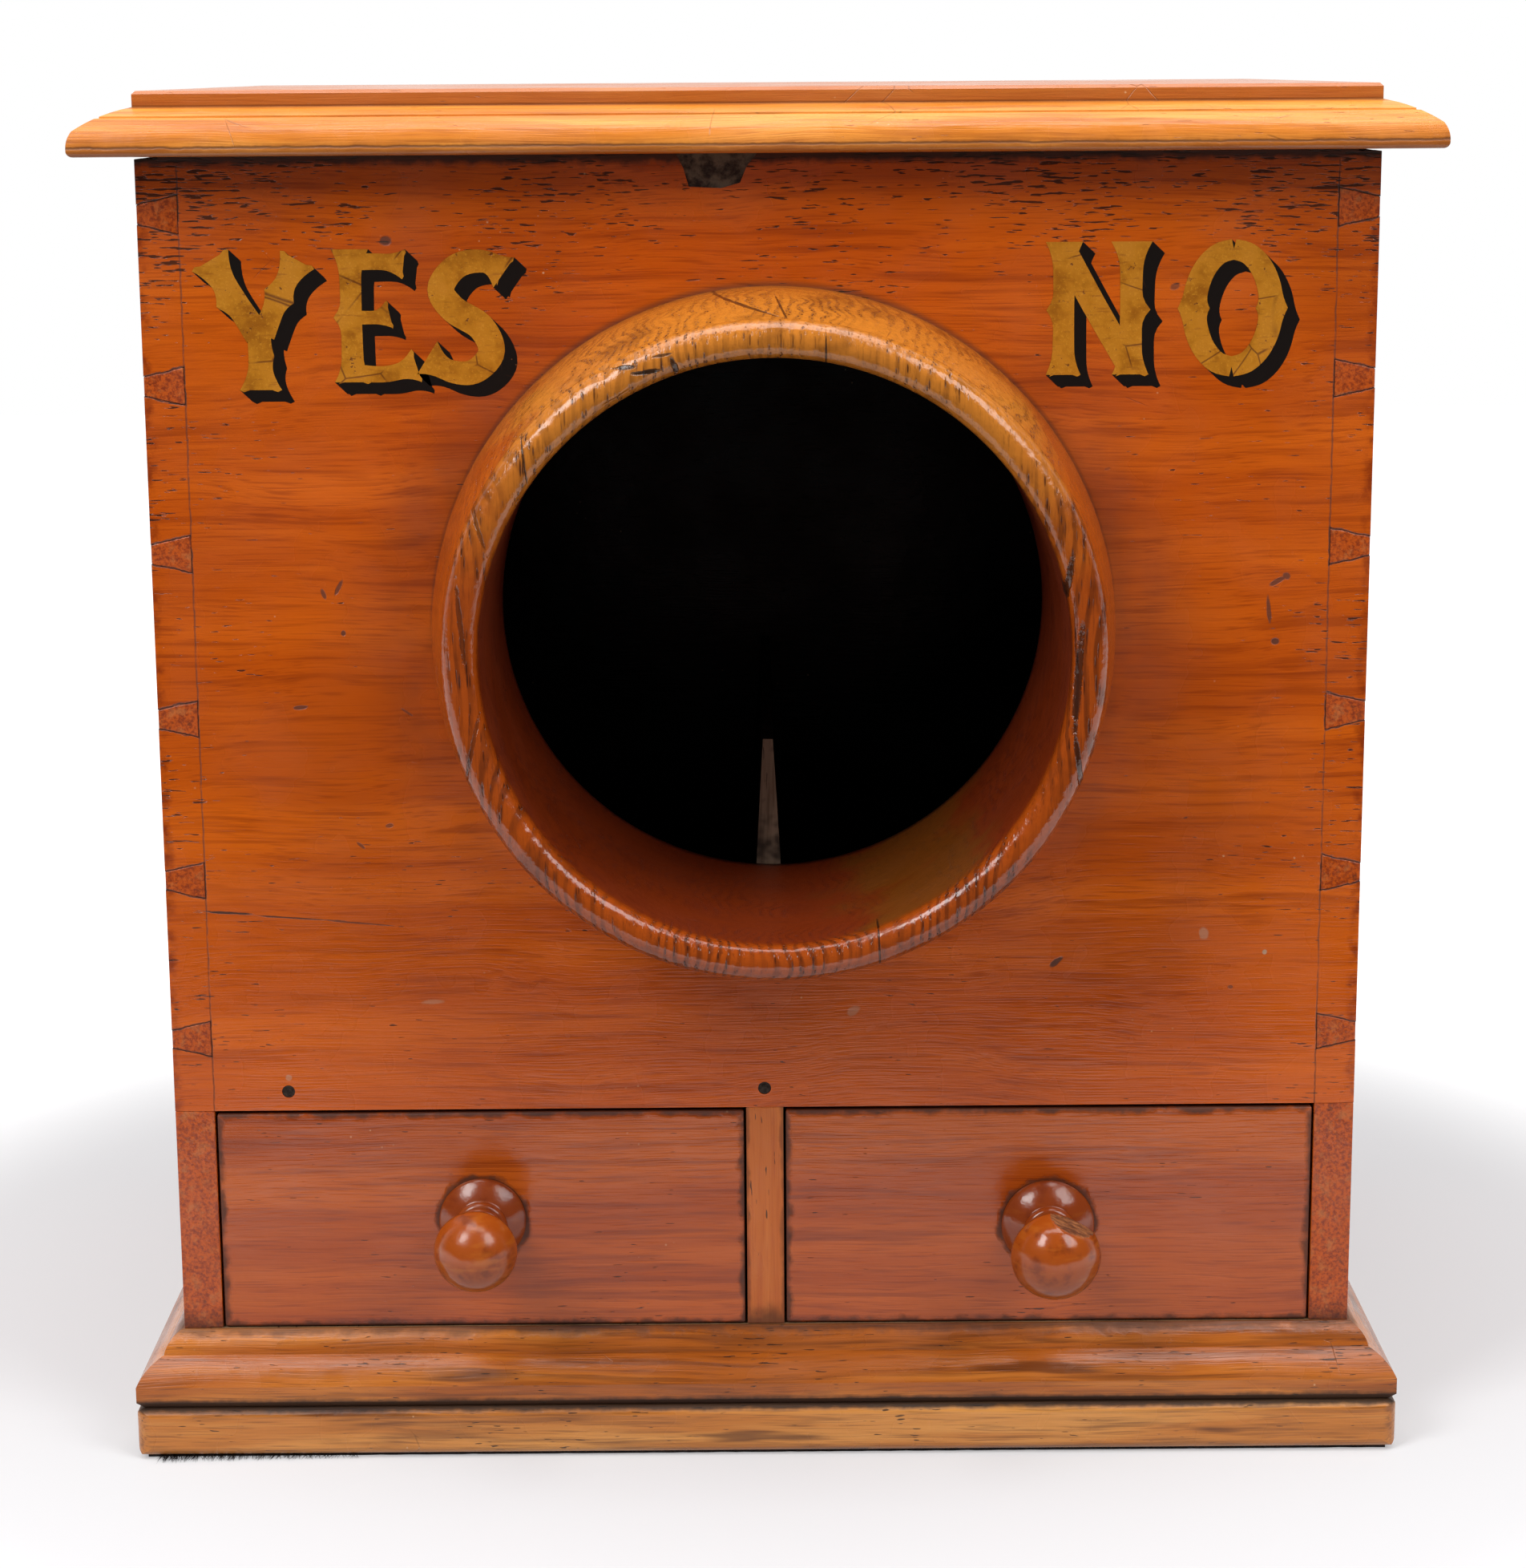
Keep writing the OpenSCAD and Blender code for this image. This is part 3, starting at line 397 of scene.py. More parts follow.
def make_oak_group():
    """Open-grained oak: rings across X, pores along Z, so dashes on long grain and rows of dots on end grain."""
    tree, g, given, out = new_group(
        "Oak",
        [("Vector", "vector", None), ("Rings", "value", 0.0027), ("Pores", "value", 0.42)],
        [("Early", "value"), ("Pore", "value"), ("Fibre", "value")],
    )
    x, y, z = g.split(given["Vector"])
    sway = g.noise(g.vector("MULTIPLY", given["Vector"], (48.0, 62.0, 16.0)), 1.0, 2.0)
    ring_x = g.math("MULTIPLY_ADD", g.math("SUBTRACT", sway, 0.5), 0.017, x)
    turn = g.math("DIVIDE", ring_x, given["Rings"])
    phase = g.math("FRACT", turn)
    early = g.math("MULTIPLY", g.step(phase, 0.0, 0.14), g.math("SUBTRACT", 1.0, g.step(phase, 0.34, 0.62)))
    patch = g.noise(given["Vector"], 55.0, 2.0)
    early = g.math("MULTIPLY", early, g.step(patch, 0.34, 0.58, 0.15, 1.0))
    g.put(early, out["Early"])
    dots = g.cells(g.vector("DIVIDE", given["Vector"], (0.00066, 0.00085, 0.0062)), 1.0, "F1", 0.8)
    size = g.math("MULTIPLY", given["Pores"], g.step(patch, 0.3, 0.6, 0.6, 1.0))
    pore = g.math("SUBTRACT", 1.0, g.step(dots, g.math("MULTIPLY", size, 0.55), size))
    g.put(g.math("MULTIPLY", pore, g.math("MULTIPLY_ADD", early, 0.85, 0.15)), out["Pore"])
    g.put(g.noise(g.join(x, y, g.math("MULTIPLY", z, 0.05)), 1500.0, 2.0, 0.7), out["Fibre"])
    return tree


GROUP_NAMES = {
    "figure": "Wood figure", "dashes": "Grain dashes", "scratches": "Scratches",
    "varnish": "Varnish", "mark": "Mark", "joints": "Dovetails", "oak": "Oak",
}


def groups():
    """The shared node groups by their short names, made at the first call."""
    if GROUP_NAMES["figure"] not in bpy.data.node_groups:
        make_figure_group()
        make_dash_group()
        make_scratch_group()
        make_varnish_group()
        make_mark_group()
        make_joint_group(settings()[0])
        make_oak_group()
    return {key: bpy.data.node_groups[name] for key, name in GROUP_NAMES.items()}


def new_material(name):
    """A material with its Graph, its shader and the place on the object as a vector."""
    material = bpy.data.materials.new(name)
    material.use_nodes = True
    graph = Graph(material.node_tree)
    shader = material.node_tree.nodes["Principled BSDF"]
    place = graph.add("ShaderNodeTexCoord").outputs["Object"]
    return material, graph, shader, place


def set_shader(graph, shader, base, rough=None, height=None, depth=0.0002, metal=0.0):
    """Joins a finished colour, roughness and height to the shader."""
    graph.put(base, shader.inputs["Base Color"])
    graph.put(rough, shader.inputs["Roughness"])
    shader.inputs["Metallic"].default_value = metal
    if height is not None:
        bump = graph.add("ShaderNodeBump", {"Strength": 1.0, "Distance": depth, "Height": height})
        graph.put(bump.outputs["Normal"], shader.inputs["Normal"])


def along(graph, place, axis):
    """The place with the grain's direction turned to X."""
    x, y, z = graph.split(place)
    order = {"X": (x, y, z), "Y": (y, x, z), "Z": (z, y, x)}[axis]
    return graph.join(*order)


def shift(graph, vector, seed):
    return graph.vector("ADD", vector, (0.37 * seed, 0.61 * seed, 0.23 * seed))


def end_grain(graph, axis, normal):
    """1 on the faces that cut across the grain."""
    x, y, z = graph.split(normal)
    across = {"X": x, "Y": y, "Z": z}[axis]
    return graph.step(graph.math("ABSOLUTE", across), 0.72, 0.8)


def wood(graph, place, axis, pale, usual, dark, seed=0.0, bands=70.0, dashes=0.3, sway=0.005, streak=0.5):
    """Colour, fibre and dashes of sawn wood, before dirt and wear."""
    kit = groups()
    grain = shift(graph, along(graph, place, axis), seed)
    figure = graph.group(kit["figure"], vector=grain, bands=bands, sway=sway)
    base = graph.mix(rgba(usual), rgba(pale), graph.step(figure["Band"], 0.42, 0.68))
    base = graph.mix(base, rgba(dark), graph.step(figure["Streak"], 0.50, 0.30, 0.0, streak))
    base = graph.mix(base, rgba(pale), graph.step(figure["Streak"], 0.56, 0.72, 0.0, streak * 0.8))
    fibre = graph.step(figure["Fibre"], 0.30, 0.70)
    base = graph.mix(base, rgba(dark), graph.step(figure["Fibre"], 0.50, 0.26, 0.0, streak * 0.9))
    fleck = graph.group(kit["dashes"], vector=grain, amount=dashes)["Mask"]
    return base, fibre, fleck


def finish_wood(graph, shader, place, base, fibre, fleck, dirt, gloss=0.24, dirt_and_shade_mask=None,
                depth=0.00012, scratch=0.35, seed=0.0, fleck_colour=None):
    """Adds dashes, dirt and painted shade, scratches and varnish to a wood."""
    kit = groups()
    scratch_out = graph.group(kit["scratches"], vector=shift(graph, place, seed), amount=scratch)
    base = graph.mix(base, rgba(fleck_colour or dirt), graph.math("MULTIPLY", fleck, 0.85))
    base = graph.mix(base, rgba(dirt), graph.math("MULTIPLY", scratch_out["Mask"], 0.35))
    base = graph.mix(base, (0.72, 0.46, 0.25, 1.0), graph.math("MULTIPLY", scratch_out["Specks"], 0.5))
    # Dirt and painted shade darken towards the dirt colour, sink a little and turn rougher.
    if dirt_and_shade_mask is not None:
        base = graph.mix(base, rgba(dirt), dirt_and_shade_mask)
    varnish = graph.group(kit["varnish"], vector=shift(graph, place, seed), gloss=gloss)
    height = graph.math("MULTIPLY_ADD", fibre, 0.16, varnish["Height"])
    height = graph.math("SUBTRACT", height, graph.math("MULTIPLY", fleck, 0.6))
    height = graph.math("SUBTRACT", height, graph.math("MULTIPLY", scratch_out["Mask"], 0.3))
    rough = varnish["Roughness"]
    if dirt_and_shade_mask is not None:
        height = graph.math("SUBTRACT", height, graph.math("MULTIPLY", dirt_and_shade_mask, 1.2))
        rough = graph.math("MULTIPLY_ADD", dirt_and_shade_mask, 0.45, rough)
    set_shader(graph, shader, base, rough, height, depth)


def board_grime_and_shade(graph, place):
    """Grime and painted shade of the front: a dark band under the lid that is grime with the lid's painted shadow, dirt
    round the collar's foot, and the collar's painted shadow at its sides.
    """
    x, y, z = graph.split(place)
    cloud = graph.noise(place, 55.0, 3.0, 0.65)
    fine = graph.noise(place, 260.0, 3.0, 0.6)
    ragged = graph.math("MULTIPLY_ADD", graph.math("SUBTRACT", fine, 0.5), 0.003, z)
    # Dark band under the lid: grime, and painted shadow of the lid's overhang.
    lid_shadow_and_grime = graph.step(ragged, FRONT_HIGH.z - 0.0034, FRONT_HIGH.z - 0.0012)
    from_x = graph.math("SUBTRACT", x, COLLAR_X)
    from_z = graph.math("SUBTRACT", z, COLLAR_Z)
    away = graph.vector("LENGTH", graph.join(from_x, 0.0, from_z))
    ring = graph.math("SUBTRACT", away, 0.0838)
    close = graph.math("SUBTRACT", 1.0, graph.step(ring, 0.0, 0.0018))
    # Dark patches beside the collar: painted shadow of the collar.
    painted_collar_shadow = graph.math("SUBTRACT", 1.0, graph.step(ring, 0.001, 0.024))
    beside = graph.step(graph.math("ABSOLUTE", from_x), 0.045, 0.085)
    painted_collar_shadow = graph.math("MULTIPLY", graph.math("MULTIPLY", painted_collar_shadow, beside), graph.step(cloud, 0.3, 0.65, 0.2, 0.6))
    dirt_and_shade_mask = graph.both(graph.math("MULTIPLY", lid_shadow_and_grime, 0.9), graph.math("MULTIPLY", close, 0.5),
                           graph.math("MULTIPLY", painted_collar_shadow, 0.5))
    return dirt_and_shade_mask, fine


# Marks on the front board: name, X and Z in millimetres, half width, half height, turn, strength
DARK_MARKS = (
    ("knot over the letters", -90.2, 308.4, 1.5, 1.3, 0.2, 0.75),
    ("hole left", -107.9, 222.4, 0.6, 1.5, 0.4, 0.7),
    ("hole left, second", -104.2, 223.8, 0.5, 1.9, -0.5, 0.7),
    ("hole left, third", -103.3, 212.6, 0.6, 0.7, 0.0, 0.75),
    ("hole low left", -114.4, 194.0, 1.7, 0.5, 0.1, 0.7),
    ("curl", -100.6, 158.8, 1.4, 0.4, -0.7, 0.65),
    ("dent", -93.4, 163.8, 1.1, 0.6, 0.1, 0.6),
    ("stain right, upper", 127.6, 224.0, 2.6, 0.6, 0.5, 0.7),
    ("stain right, top", 129.6, 225.2, 1.0, 0.9, 0.0, 0.7),
    ("stain right, middle", 125.4, 217.0, 0.5, 3.6, 0.1, 0.7),
    ("stain right, lower", 127.1, 208.9, 1.1, 0.9, 0.0, 0.8),
    ("gouge", 73.8, 127.4, 2.1, 0.8, 0.65, 0.85),
    ("crack, root", -134.0, 141.6, 7.0, 0.30, -0.06, 0.9),
    ("crack, middle", -118.0, 140.2, 12.0, 0.24, -0.07, 0.8),
    ("crack, end", -102.0, 138.8, 9.0, 0.18, -0.09, 0.65),
    ("spot by the second word", 100.9, 296.2, 1.5, 0.9, 0.3, 0.6),
    ("dot between the words", 85.0, 252.0, 1.0, 0.4, 0.2, 0.5),
    ("dirt by the first letter", -123.3, 279.5, 1.0, 0.8, 0.2, 0.6),
    ("dent by the collar", -88.0, 192.5, 1.8, 0.3, -0.6, 0.6),
    ("line over the collar", -16.0, 298.5, 2.0, 0.3, 0.1, 0.6),
    ("speck low right", 118.0, 120.5, 0.6, 0.4, 0.0, 0.6),
)
PALE_MARKS = (
    ("bare spot", 110.9, 134.4, 1.3, 1.7, 0.3, 0.5),
    ("bare dot", 126.4, 129.5, 0.6, 0.7, 0.0, 0.95),
    ("bruise", 22.9, 115.2, 1.9, 1.2, 0.6, 0.45),
    ("smear", -83.6, 118.1, 3.0, 0.8, 0.05, 0.4),
    ("stopped nail", -120.8, 98.4, 0.8, 0.8, 0.0, 0.5),
)
# Marks on the collar's lip, in the same order, and on its neck
LIP_MARKS = (
    ("gouge, start", -31.4, 281.4, 2.6, 0.5, 0.10, 0.9),
    ("gouge, middle", -26.0, 280.4, 3.2, 0.6, 0.12, 0.95),
    ("gouge, hook", -19.8, 282.0, 0.7, 2.3, 0.35, 0.9),
    ("gouge, top", -22.4, 284.2, 2.4, 0.4, 0.2, 0.75),
    ("joint at the top", 15.2, 284.8, 0.22, 5.0, 0.0, 0.85),
    ("joint at the left", -54.8, 260.0, 0.25, 5.4, 0.12, 0.85),
    ("joint at the bottom", 27.5, 143.6, 0.25, 6.0, 0.05, 0.8),
    ("fissure right, top", 71.4, 230.0, 0.8, 7.5, -0.18, 0.8),
    ("fissure right, middle", 74.2, 208.0, 0.9, 13.0, -0.06, 0.8),
    ("fissure right, low", 74.6, 187.0, 0.7, 8.0, 0.14, 0.75),
    ("fissure left, top", -66.3, 246.0, 0.5, 8.0, 0.30, 0.55),
    ("fissure left, low", -70.4, 222.0, 0.6, 10.0, 0.08, 0.6),
    ("fissure left, foot", -68.4, 192.0, 0.5, 9.0, -0.22, 0.45),
)
NECK_MARKS = (
    ("neck split", -4.8, 294.4, 8.8, 0.22, -0.24, 0.8),
    ("neck split, end", 5.3, 293.4, 0.22, 3.4, 0.55, 0.8),
)


def marks(graph, place, entries, fine):
    """The union of the marks in a list, made uneven by a fine noise."""
    masks = []
    uneven = graph.math("MULTIPLY", graph.math("SUBTRACT", fine, 0.5), 1.3)
    for name, x, z, half_w, half_h, turn, strength in entries:
        found = graph.group(
            groups()["mark"], vector=place, place=(x * MM, 0.0, z * MM),
            size=(half_w * MM, 1.0, half_h * MM), turn=turn, uneven=uneven)
        masks.append(graph.math("MULTIPLY", found["Mask"], strength))
    return graph.both(*masks)


def inside_chamber(graph, place):
    """1 on the walls of the chamber, which are stained black."""
    x, y, z = graph.split(place)
    in_x = graph.math("LESS_THAN", graph.math("ABSOLUTE", x), INNER_X + 0.0001)
    in_y = graph.math("LESS_THAN", graph.math("ABSOLUTE", y), -FACE_Y - BOARD_T + 0.0001)
    return graph.math("MULTIPLY", in_x, in_y)


def front_material(colours):
    """Varnished pine of the front board, with its joints, grime, painted shade and marks."""
    material, g, shader, place = new_material("Front pine")
    x, y, z = g.split(place)
    top = g.step(z, FRONT_HIGH.z - 0.050, FRONT_HIGH.z - 0.004)
    edges = g.step(g.math("ABSOLUTE", x), 0.112, 0.148)
    amount = g.math("MULTIPLY_ADD", top, 0.45, g.math("MULTIPLY_ADD", edges, 0.22, 0.24))
    base, fibre, fleck = wood(g, place, "X", colours.pine_pale, colours.pine, colours.pine_dark,
                              seed=1.0, bands=62.0, dashes=amount, sway=0.009)
    patches = g.noise(place, 13.0, 2.0)
    base = g.mix(base, rgba(colours.pine_pale), g.step(patches, 0.48, 0.75, 0.0, 0.45))
    base = g.mix(base, rgba(colours.pine_dark), g.step(patches, 0.48, 0.25, 0.0, 0.32))
    joints = g.group(groups()["joints"], vector=place)
    grime_and_shade, fine = board_grime_and_shade(g, place)
    speckle = g.noise(place, 1300.0, 2.0, 0.8)
    ends = g.mix(rgba(colours.pine_dark), rgba(colours.pine), g.step(speckle, 0.38, 0.62))
    base = g.mix(base, ends, g.math("MULTIPLY", joints["Pins"], 0.8))
    base = g.mix(base, rgba(colours.pine_dark), g.math("MULTIPLY", joints["Edge"], g.step(fine, 0.35, 0.7, 0.0, 0.9)))
    base = g.mix(base, (0.42, 0.25, 0.16, 1.0), marks(g, place, PALE_MARKS, fine))
    # The dark mask holds the joints, the marks, and grime with painted shade under the lid and beside the collar.
    dirt_and_shade_mask = g.both(g.math("MULTIPLY", joints["Outline"], 0.85), grime_and_shade, marks(g, place, DARK_MARKS, fine))
    base = g.mix(base, rgba(colours.stain), inside_chamber(g, place))
    finish_wood(g, shader, place, base, fibre, fleck, colours.dirt, dirt_and_shade_mask=dirt_and_shade_mask, seed=1.0)
    return material


def side_material(colours):
    """Side boards: long grain along Y, end grain on the front edges."""
    material, g, shader, place = new_material("Side pine")
    normal = g.add("ShaderNodeTexCoord").outputs["Normal"]
    base, fibre, fleck = wood(g, place, "Y", colours.pine_pale, colours.pine, colours.pine_dark,
                              seed=2.0, bands=60.0, dashes=0.4, sway=0.008)
    speckle = g.noise(place, 1100.0, 3.0, 0.8)
    ends = g.mix(rgba(colours.pine_dark), rgba(colours.pine), g.step(speckle, 0.36, 0.60))
    blotch = g.noise(place, 240.0, 3.0, 0.7)
    ends = g.mix(ends, (0.46, 0.15, 0.04, 1.0), g.step(blotch, 0.50, 0.68, 0.0, 0.5))
    ends = g.mix(ends, rgba(colours.dirt), g.step(blotch, 0.42, 0.28, 0.0, 0.55))
    cut = end_grain(g, "Y", normal)
    base = g.mix(base, ends, cut)
    fleck = g.math("MULTIPLY", fleck, g.math("SUBTRACT", 1.0, cut))
    joints = g.group(groups()["joints"], vector=place)
    x, y, z = g.split(place)
    uneven_z = g.math("MULTIPLY_ADD", blotch, 0.008, z)
    foot = g.math("SUBTRACT", 1.0, g.step(uneven_z, MOULDING_HIGH.z + 0.002, MOULDING_HIGH.z + 0.011))
    # Grime with painted shadow of the lid's overhang along the top of the sides.
    grime_and_shade, fine = board_grime_and_shade(g, place)
    dirt_and_shade_mask = g.both(g.math("MULTIPLY", joints["Outline"], 0.85), g.math("MULTIPLY", foot, 0.8), grime_and_shade)
    in_chamber = g.math("MULTIPLY", inside_chamber(g, place), g.math("GREATER_THAN", z, CHAMBER_HIGH.z))
    base = g.mix(base, rgba(colours.stain), in_chamber)
    finish_wood(g, shader, place, base, fibre, fleck, colours.dirt, gloss=0.3, dirt_and_shade_mask=dirt_and_shade_mask, seed=2.0)
    return material


def back_material(colours):
    """Back board, with the grain along X."""
    material, g, shader, place = new_material("Back pine")
    base, fibre, fleck = wood(g, place, "X", colours.pine_pale, colours.pine, colours.pine_dark,
                              seed=3.0, bands=60.0, dashes=0.5, sway=0.009)
    joints = g.group(groups()["joints"], vector=place)
    fine = g.noise(place, 260.0, 3.0, 0.6)
    worn = g.math("MULTIPLY", joints["Edge"], g.step(fine, 0.35, 0.7, 0.0, 0.8))
    base = g.mix(base, rgba(colours.pine_dark), worn)
    base = g.mix(base, rgba(colours.stain), inside_chamber(g, place))
    finish_wood(g, shader, place, base, fibre, fleck, colours.dirt, gloss=0.3, seed=3.0)
    return material


def drawer_material(colours):
    """Drawer fronts: brown-red wood, darker round its edges and round the knobs, from dirt with painted shade."""
    material, g, shader, place = new_material("Drawer front")
    base, fibre, fleck = wood(g, place, "X", colours.drawer_pale, colours.drawer, colours.drawer_dark,
                              seed=4.0, bands=75.0, dashes=0.30, sway=0.005)
    x, y, z = g.split(place)
    front_low, front_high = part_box("left_drawer_front")
    middle_x = -(front_low.x + front_high.x) / 2
    from_middle = g.math("ABSOLUTE", g.math("SUBTRACT", g.math("ABSOLUTE", x), middle_x))
    edge_x = g.math("SUBTRACT", (front_high.x - front_low.x) / 2, from_middle)
    edge_z = g.math("MINIMUM", g.math("SUBTRACT", z, front_low.z), g.math("SUBTRACT", front_high.z, z))
    ragged = g.math("MULTIPLY", g.math("SUBTRACT", g.noise(place, 150.0, 3.0, 0.65), 0.5), 0.005)
    edge = g.math("ADD", g.math("MINIMUM", edge_x, edge_z), ragged)
    # Dark border round the front: dirt, and painted shade of the gap round the drawer.
    border = g.math("SUBTRACT", 1.0, g.step(edge, 0.0, 0.0019))
    # Dark ring round each knob's flange: painted shadow of the knob, with dirt.
    rings = []
    for side in ("left", "right"):
        low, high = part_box(f"{side}_drawer_knob")
        from_knob = g.join(g.math("SUBTRACT", x, (low.x + high.x) / 2), 0.0,
                           g.math("SUBTRACT", z, (low.z + high.z) / 2))
        around = g.math("SUBTRACT", g.vector("LENGTH", from_knob), (high.x - low.x) / 2)
        rings.append(g.math("SUBTRACT", 1.0, g.step(g.math("ADD", around, ragged), 0.0, 0.0016)))
    dirt_and_shade_mask = g.both(g.math("MULTIPLY", border, 0.8), g.math("MULTIPLY", g.both(*rings), 0.75))
    finish_wood(g, shader, place, base, fibre, fleck, colours.dirt, gloss=0.17, dirt_and_shade_mask=dirt_and_shade_mask, seed=4.0)
    return material


def divider_material(colours):
    """Pale reddish edge between the drawers, with the grain along Z."""
    material, g, shader, place = new_material("Divider")
    base, fibre, fleck = wood(g, place, "Z", (0.58, 0.17, 0.030), (0.48, 0.115, 0.014), colours.drawer,
                              seed=5.0, bands=130.0, dashes=0.35)
    x, y, z = g.split(place)
    wander = g.math("MULTIPLY", g.math("SUBTRACT", g.noise(place, 170.0, 3.0), 0.5), 0.003)
    out_x = g.math("ADD", g.math("ABSOLUTE", x), wander)
    side = g.step(out_x, DIVIDER_HIGH.x - 0.0011, DIVIDER_HIGH.x - 0.0001)
    uneven_z = g.math("MULTIPLY_ADD", wander, 3.0, z)
    foot = g.math("SUBTRACT", 1.0, g.step(uneven_z, DIVIDER_LOW.z + 0.001, DIVIDER_LOW.z + 0.007))
    dirt_and_shade_mask = g.both(g.math("MULTIPLY", side, 0.5), g.math("MULTIPLY", foot, 0.7))
    finish_wood(g, shader, place, base, fibre, fleck, colours.dirt, gloss=0.3, dirt_and_shade_mask=dirt_and_shade_mask, seed=5.0)
    return material


def lid_material(colours):
    """Golden streaky wood of the lid, darker on its top field and dark at its lower arris."""
    material, g, shader, place = new_material("Lid wood")
    base, fibre, fleck = wood(g, place, "X", colours.lid_pale, colours.lid, colours.lid_dark,
                              seed=6.0, bands=150.0, dashes=0.30, sway=0.004, streak=0.42)
    x, y, z = g.split(place)
    wander = g.math("MULTIPLY", g.math("SUBTRACT", g.noise(place, 150.0, 3.0, 0.65), 0.5), 0.0035)
    uneven_z = g.math("ADD", z, wander)
    low = g.math("SUBTRACT", 1.0, g.step(uneven_z, LID_LOW.z + 0.0006, LID_LOW.z + 0.0042))
    base = g.mix(base, (0.24, 0.060, 0.010, 1.0), g.math("MULTIPLY", low, 0.65))
    above_arris = g.math("SUBTRACT", g.math("MULTIPLY_ADD", wander, 0.25, z), LID_LOW.z + 0.0021)
    arris = g.math("SUBTRACT", 1.0, g.step(g.math("ABSOLUTE", above_arris), 0.0, 0.0005))
    field = g.step(z, LID_HIGH.z - 0.0042, LID_HIGH.z - 0.0036)
    base = g.mix(base, (0.34, 0.075, 0.014, 1.0), g.math("MULTIPLY", field, 0.6))
    at_step = g.math("ABSOLUTE", g.math("SUBTRACT", z, LID_HIGH.z - 0.0038))
    step_dirt = g.math("SUBTRACT", 1.0, g.step(at_step, 0.0, 0.0006))
    dirt_and_shade_mask = g.both(g.math("MULTIPLY", arris, 0.6), g.math("MULTIPLY", step_dirt, 0.45))
    finish_wood(g, shader, place, base, fibre, fleck, colours.dirt, gloss=0.26, dirt_and_shade_mask=dirt_and_shade_mask,
                seed=6.0, scratch=0.6, depth=0.00018, fleck_colour=colours.lid_dark)
    return material


def base_material(name, axis, seed, pale, usual, colours):
    """Streaky wood of the slab and mouldings, with dirt in the quirks, painted shade with dirt in the groove over the
    slab, and dark smears.
    """
    material, g, shader, place = new_material(name)
    base, fibre, fleck = wood(g, place, axis, pale, usual, colours.base_dark,
                              seed=seed, bands=150.0, dashes=0.42, sway=0.005, streak=0.45)
    grain = shift(g, along(g, place, axis), seed + 0.5)
    smear = g.noise(g.vector("MULTIPLY", grain, (16.0, 170.0, 170.0)), 1.0, 3.0, 0.6)
    base = g.mix(base, rgba(colours.base_dark), g.step(smear, 0.57, 0.70, 0.0, 0.7))
    x, y, z = g.split(place)
    wander = g.math("MULTIPLY", g.math("SUBTRACT", g.noise(place, 160.0, 3.0, 0.65), 0.5), 0.004)
    top = g.step(g.math("ADD", z, wander), MOULDING_HIGH.z - 0.0024, MOULDING_HIGH.z)
    # The groove over the slab is darkened: dirt, and painted shade under the moulding's overhang.
    from_groove = g.math("SUBTRACT", g.math("MULTIPLY_ADD", wander, 0.4, z), SLAB_HIGH.z + 0.0006)
    groove = g.math("SUBTRACT", 1.0, g.step(g.math("ABSOLUTE", from_groove), 0.0010, 0.0024))
    dirt_and_shade_mask = g.both(g.math("MULTIPLY", top, 0.6), g.math("MULTIPLY", groove, 0.92))
    finish_wood(g, shader, place, base, fibre, fleck, colours.dirt, gloss=0.24, dirt_and_shade_mask=dirt_and_shade_mask,
                seed=seed, scratch=0.5, depth=0.0002)
    return material


def inner_material(colours):
    """Bare wood inside the drawers and under the chamber, black above."""
    material, g, shader, place = new_material("Bare wood")
    dark = [value * 0.45 for value in colours.bare]
    usual = [value * 0.8 for value in colours.bare]
    base, fibre, fleck = wood(g, place, "Y", colours.bare, usual, dark, seed=7.0, bands=90.0, dashes=0.4)
    x, y, z = g.split(place)
    over_floor = g.math("GREATER_THAN", z, CHAMBER_HIGH.z - 0.00005)
    base = g.mix(base, rgba(colours.stain), over_floor)
    finish_wood(g, shader, place, base, fibre, fleck, colours.dirt, gloss=0.6, seed=7.0)
    return material


def partition_material(colours):
    """Worn grey front edge of the partition, and its blackened sides."""
    material, g, shader, place = new_material("Partition")
    base, fibre, fleck = wood(g, place, "Z", (0.36, 0.24, 0.16), (0.22, 0.14, 0.09), (0.08, 0.040, 0.02),
                              seed=8.0, bands=200.0, dashes=0.5)
    normal = g.add("ShaderNodeTexCoord").outputs["Normal"]
    patch = g.noise(place, 75.0, 3.0, 0.6)
    base = g.mix(base, (0.20, 0.05, 0.014, 1.0), g.step(patch, 0.46, 0.36, 0.0, 0.8))
    sides = g.math("SUBTRACT", 1.0, end_grain(g, "Y", normal))
    base = g.mix(base, rgba(colours.stain), sides)
    base = g.mix(base, rgba(colours.dirt), g.step(patch, 0.55, 0.66, 0.0, 0.8))
    finish_wood(g, shader, place, base, fibre, fleck, colours.dirt, gloss=0.6, seed=8.0)
    return material


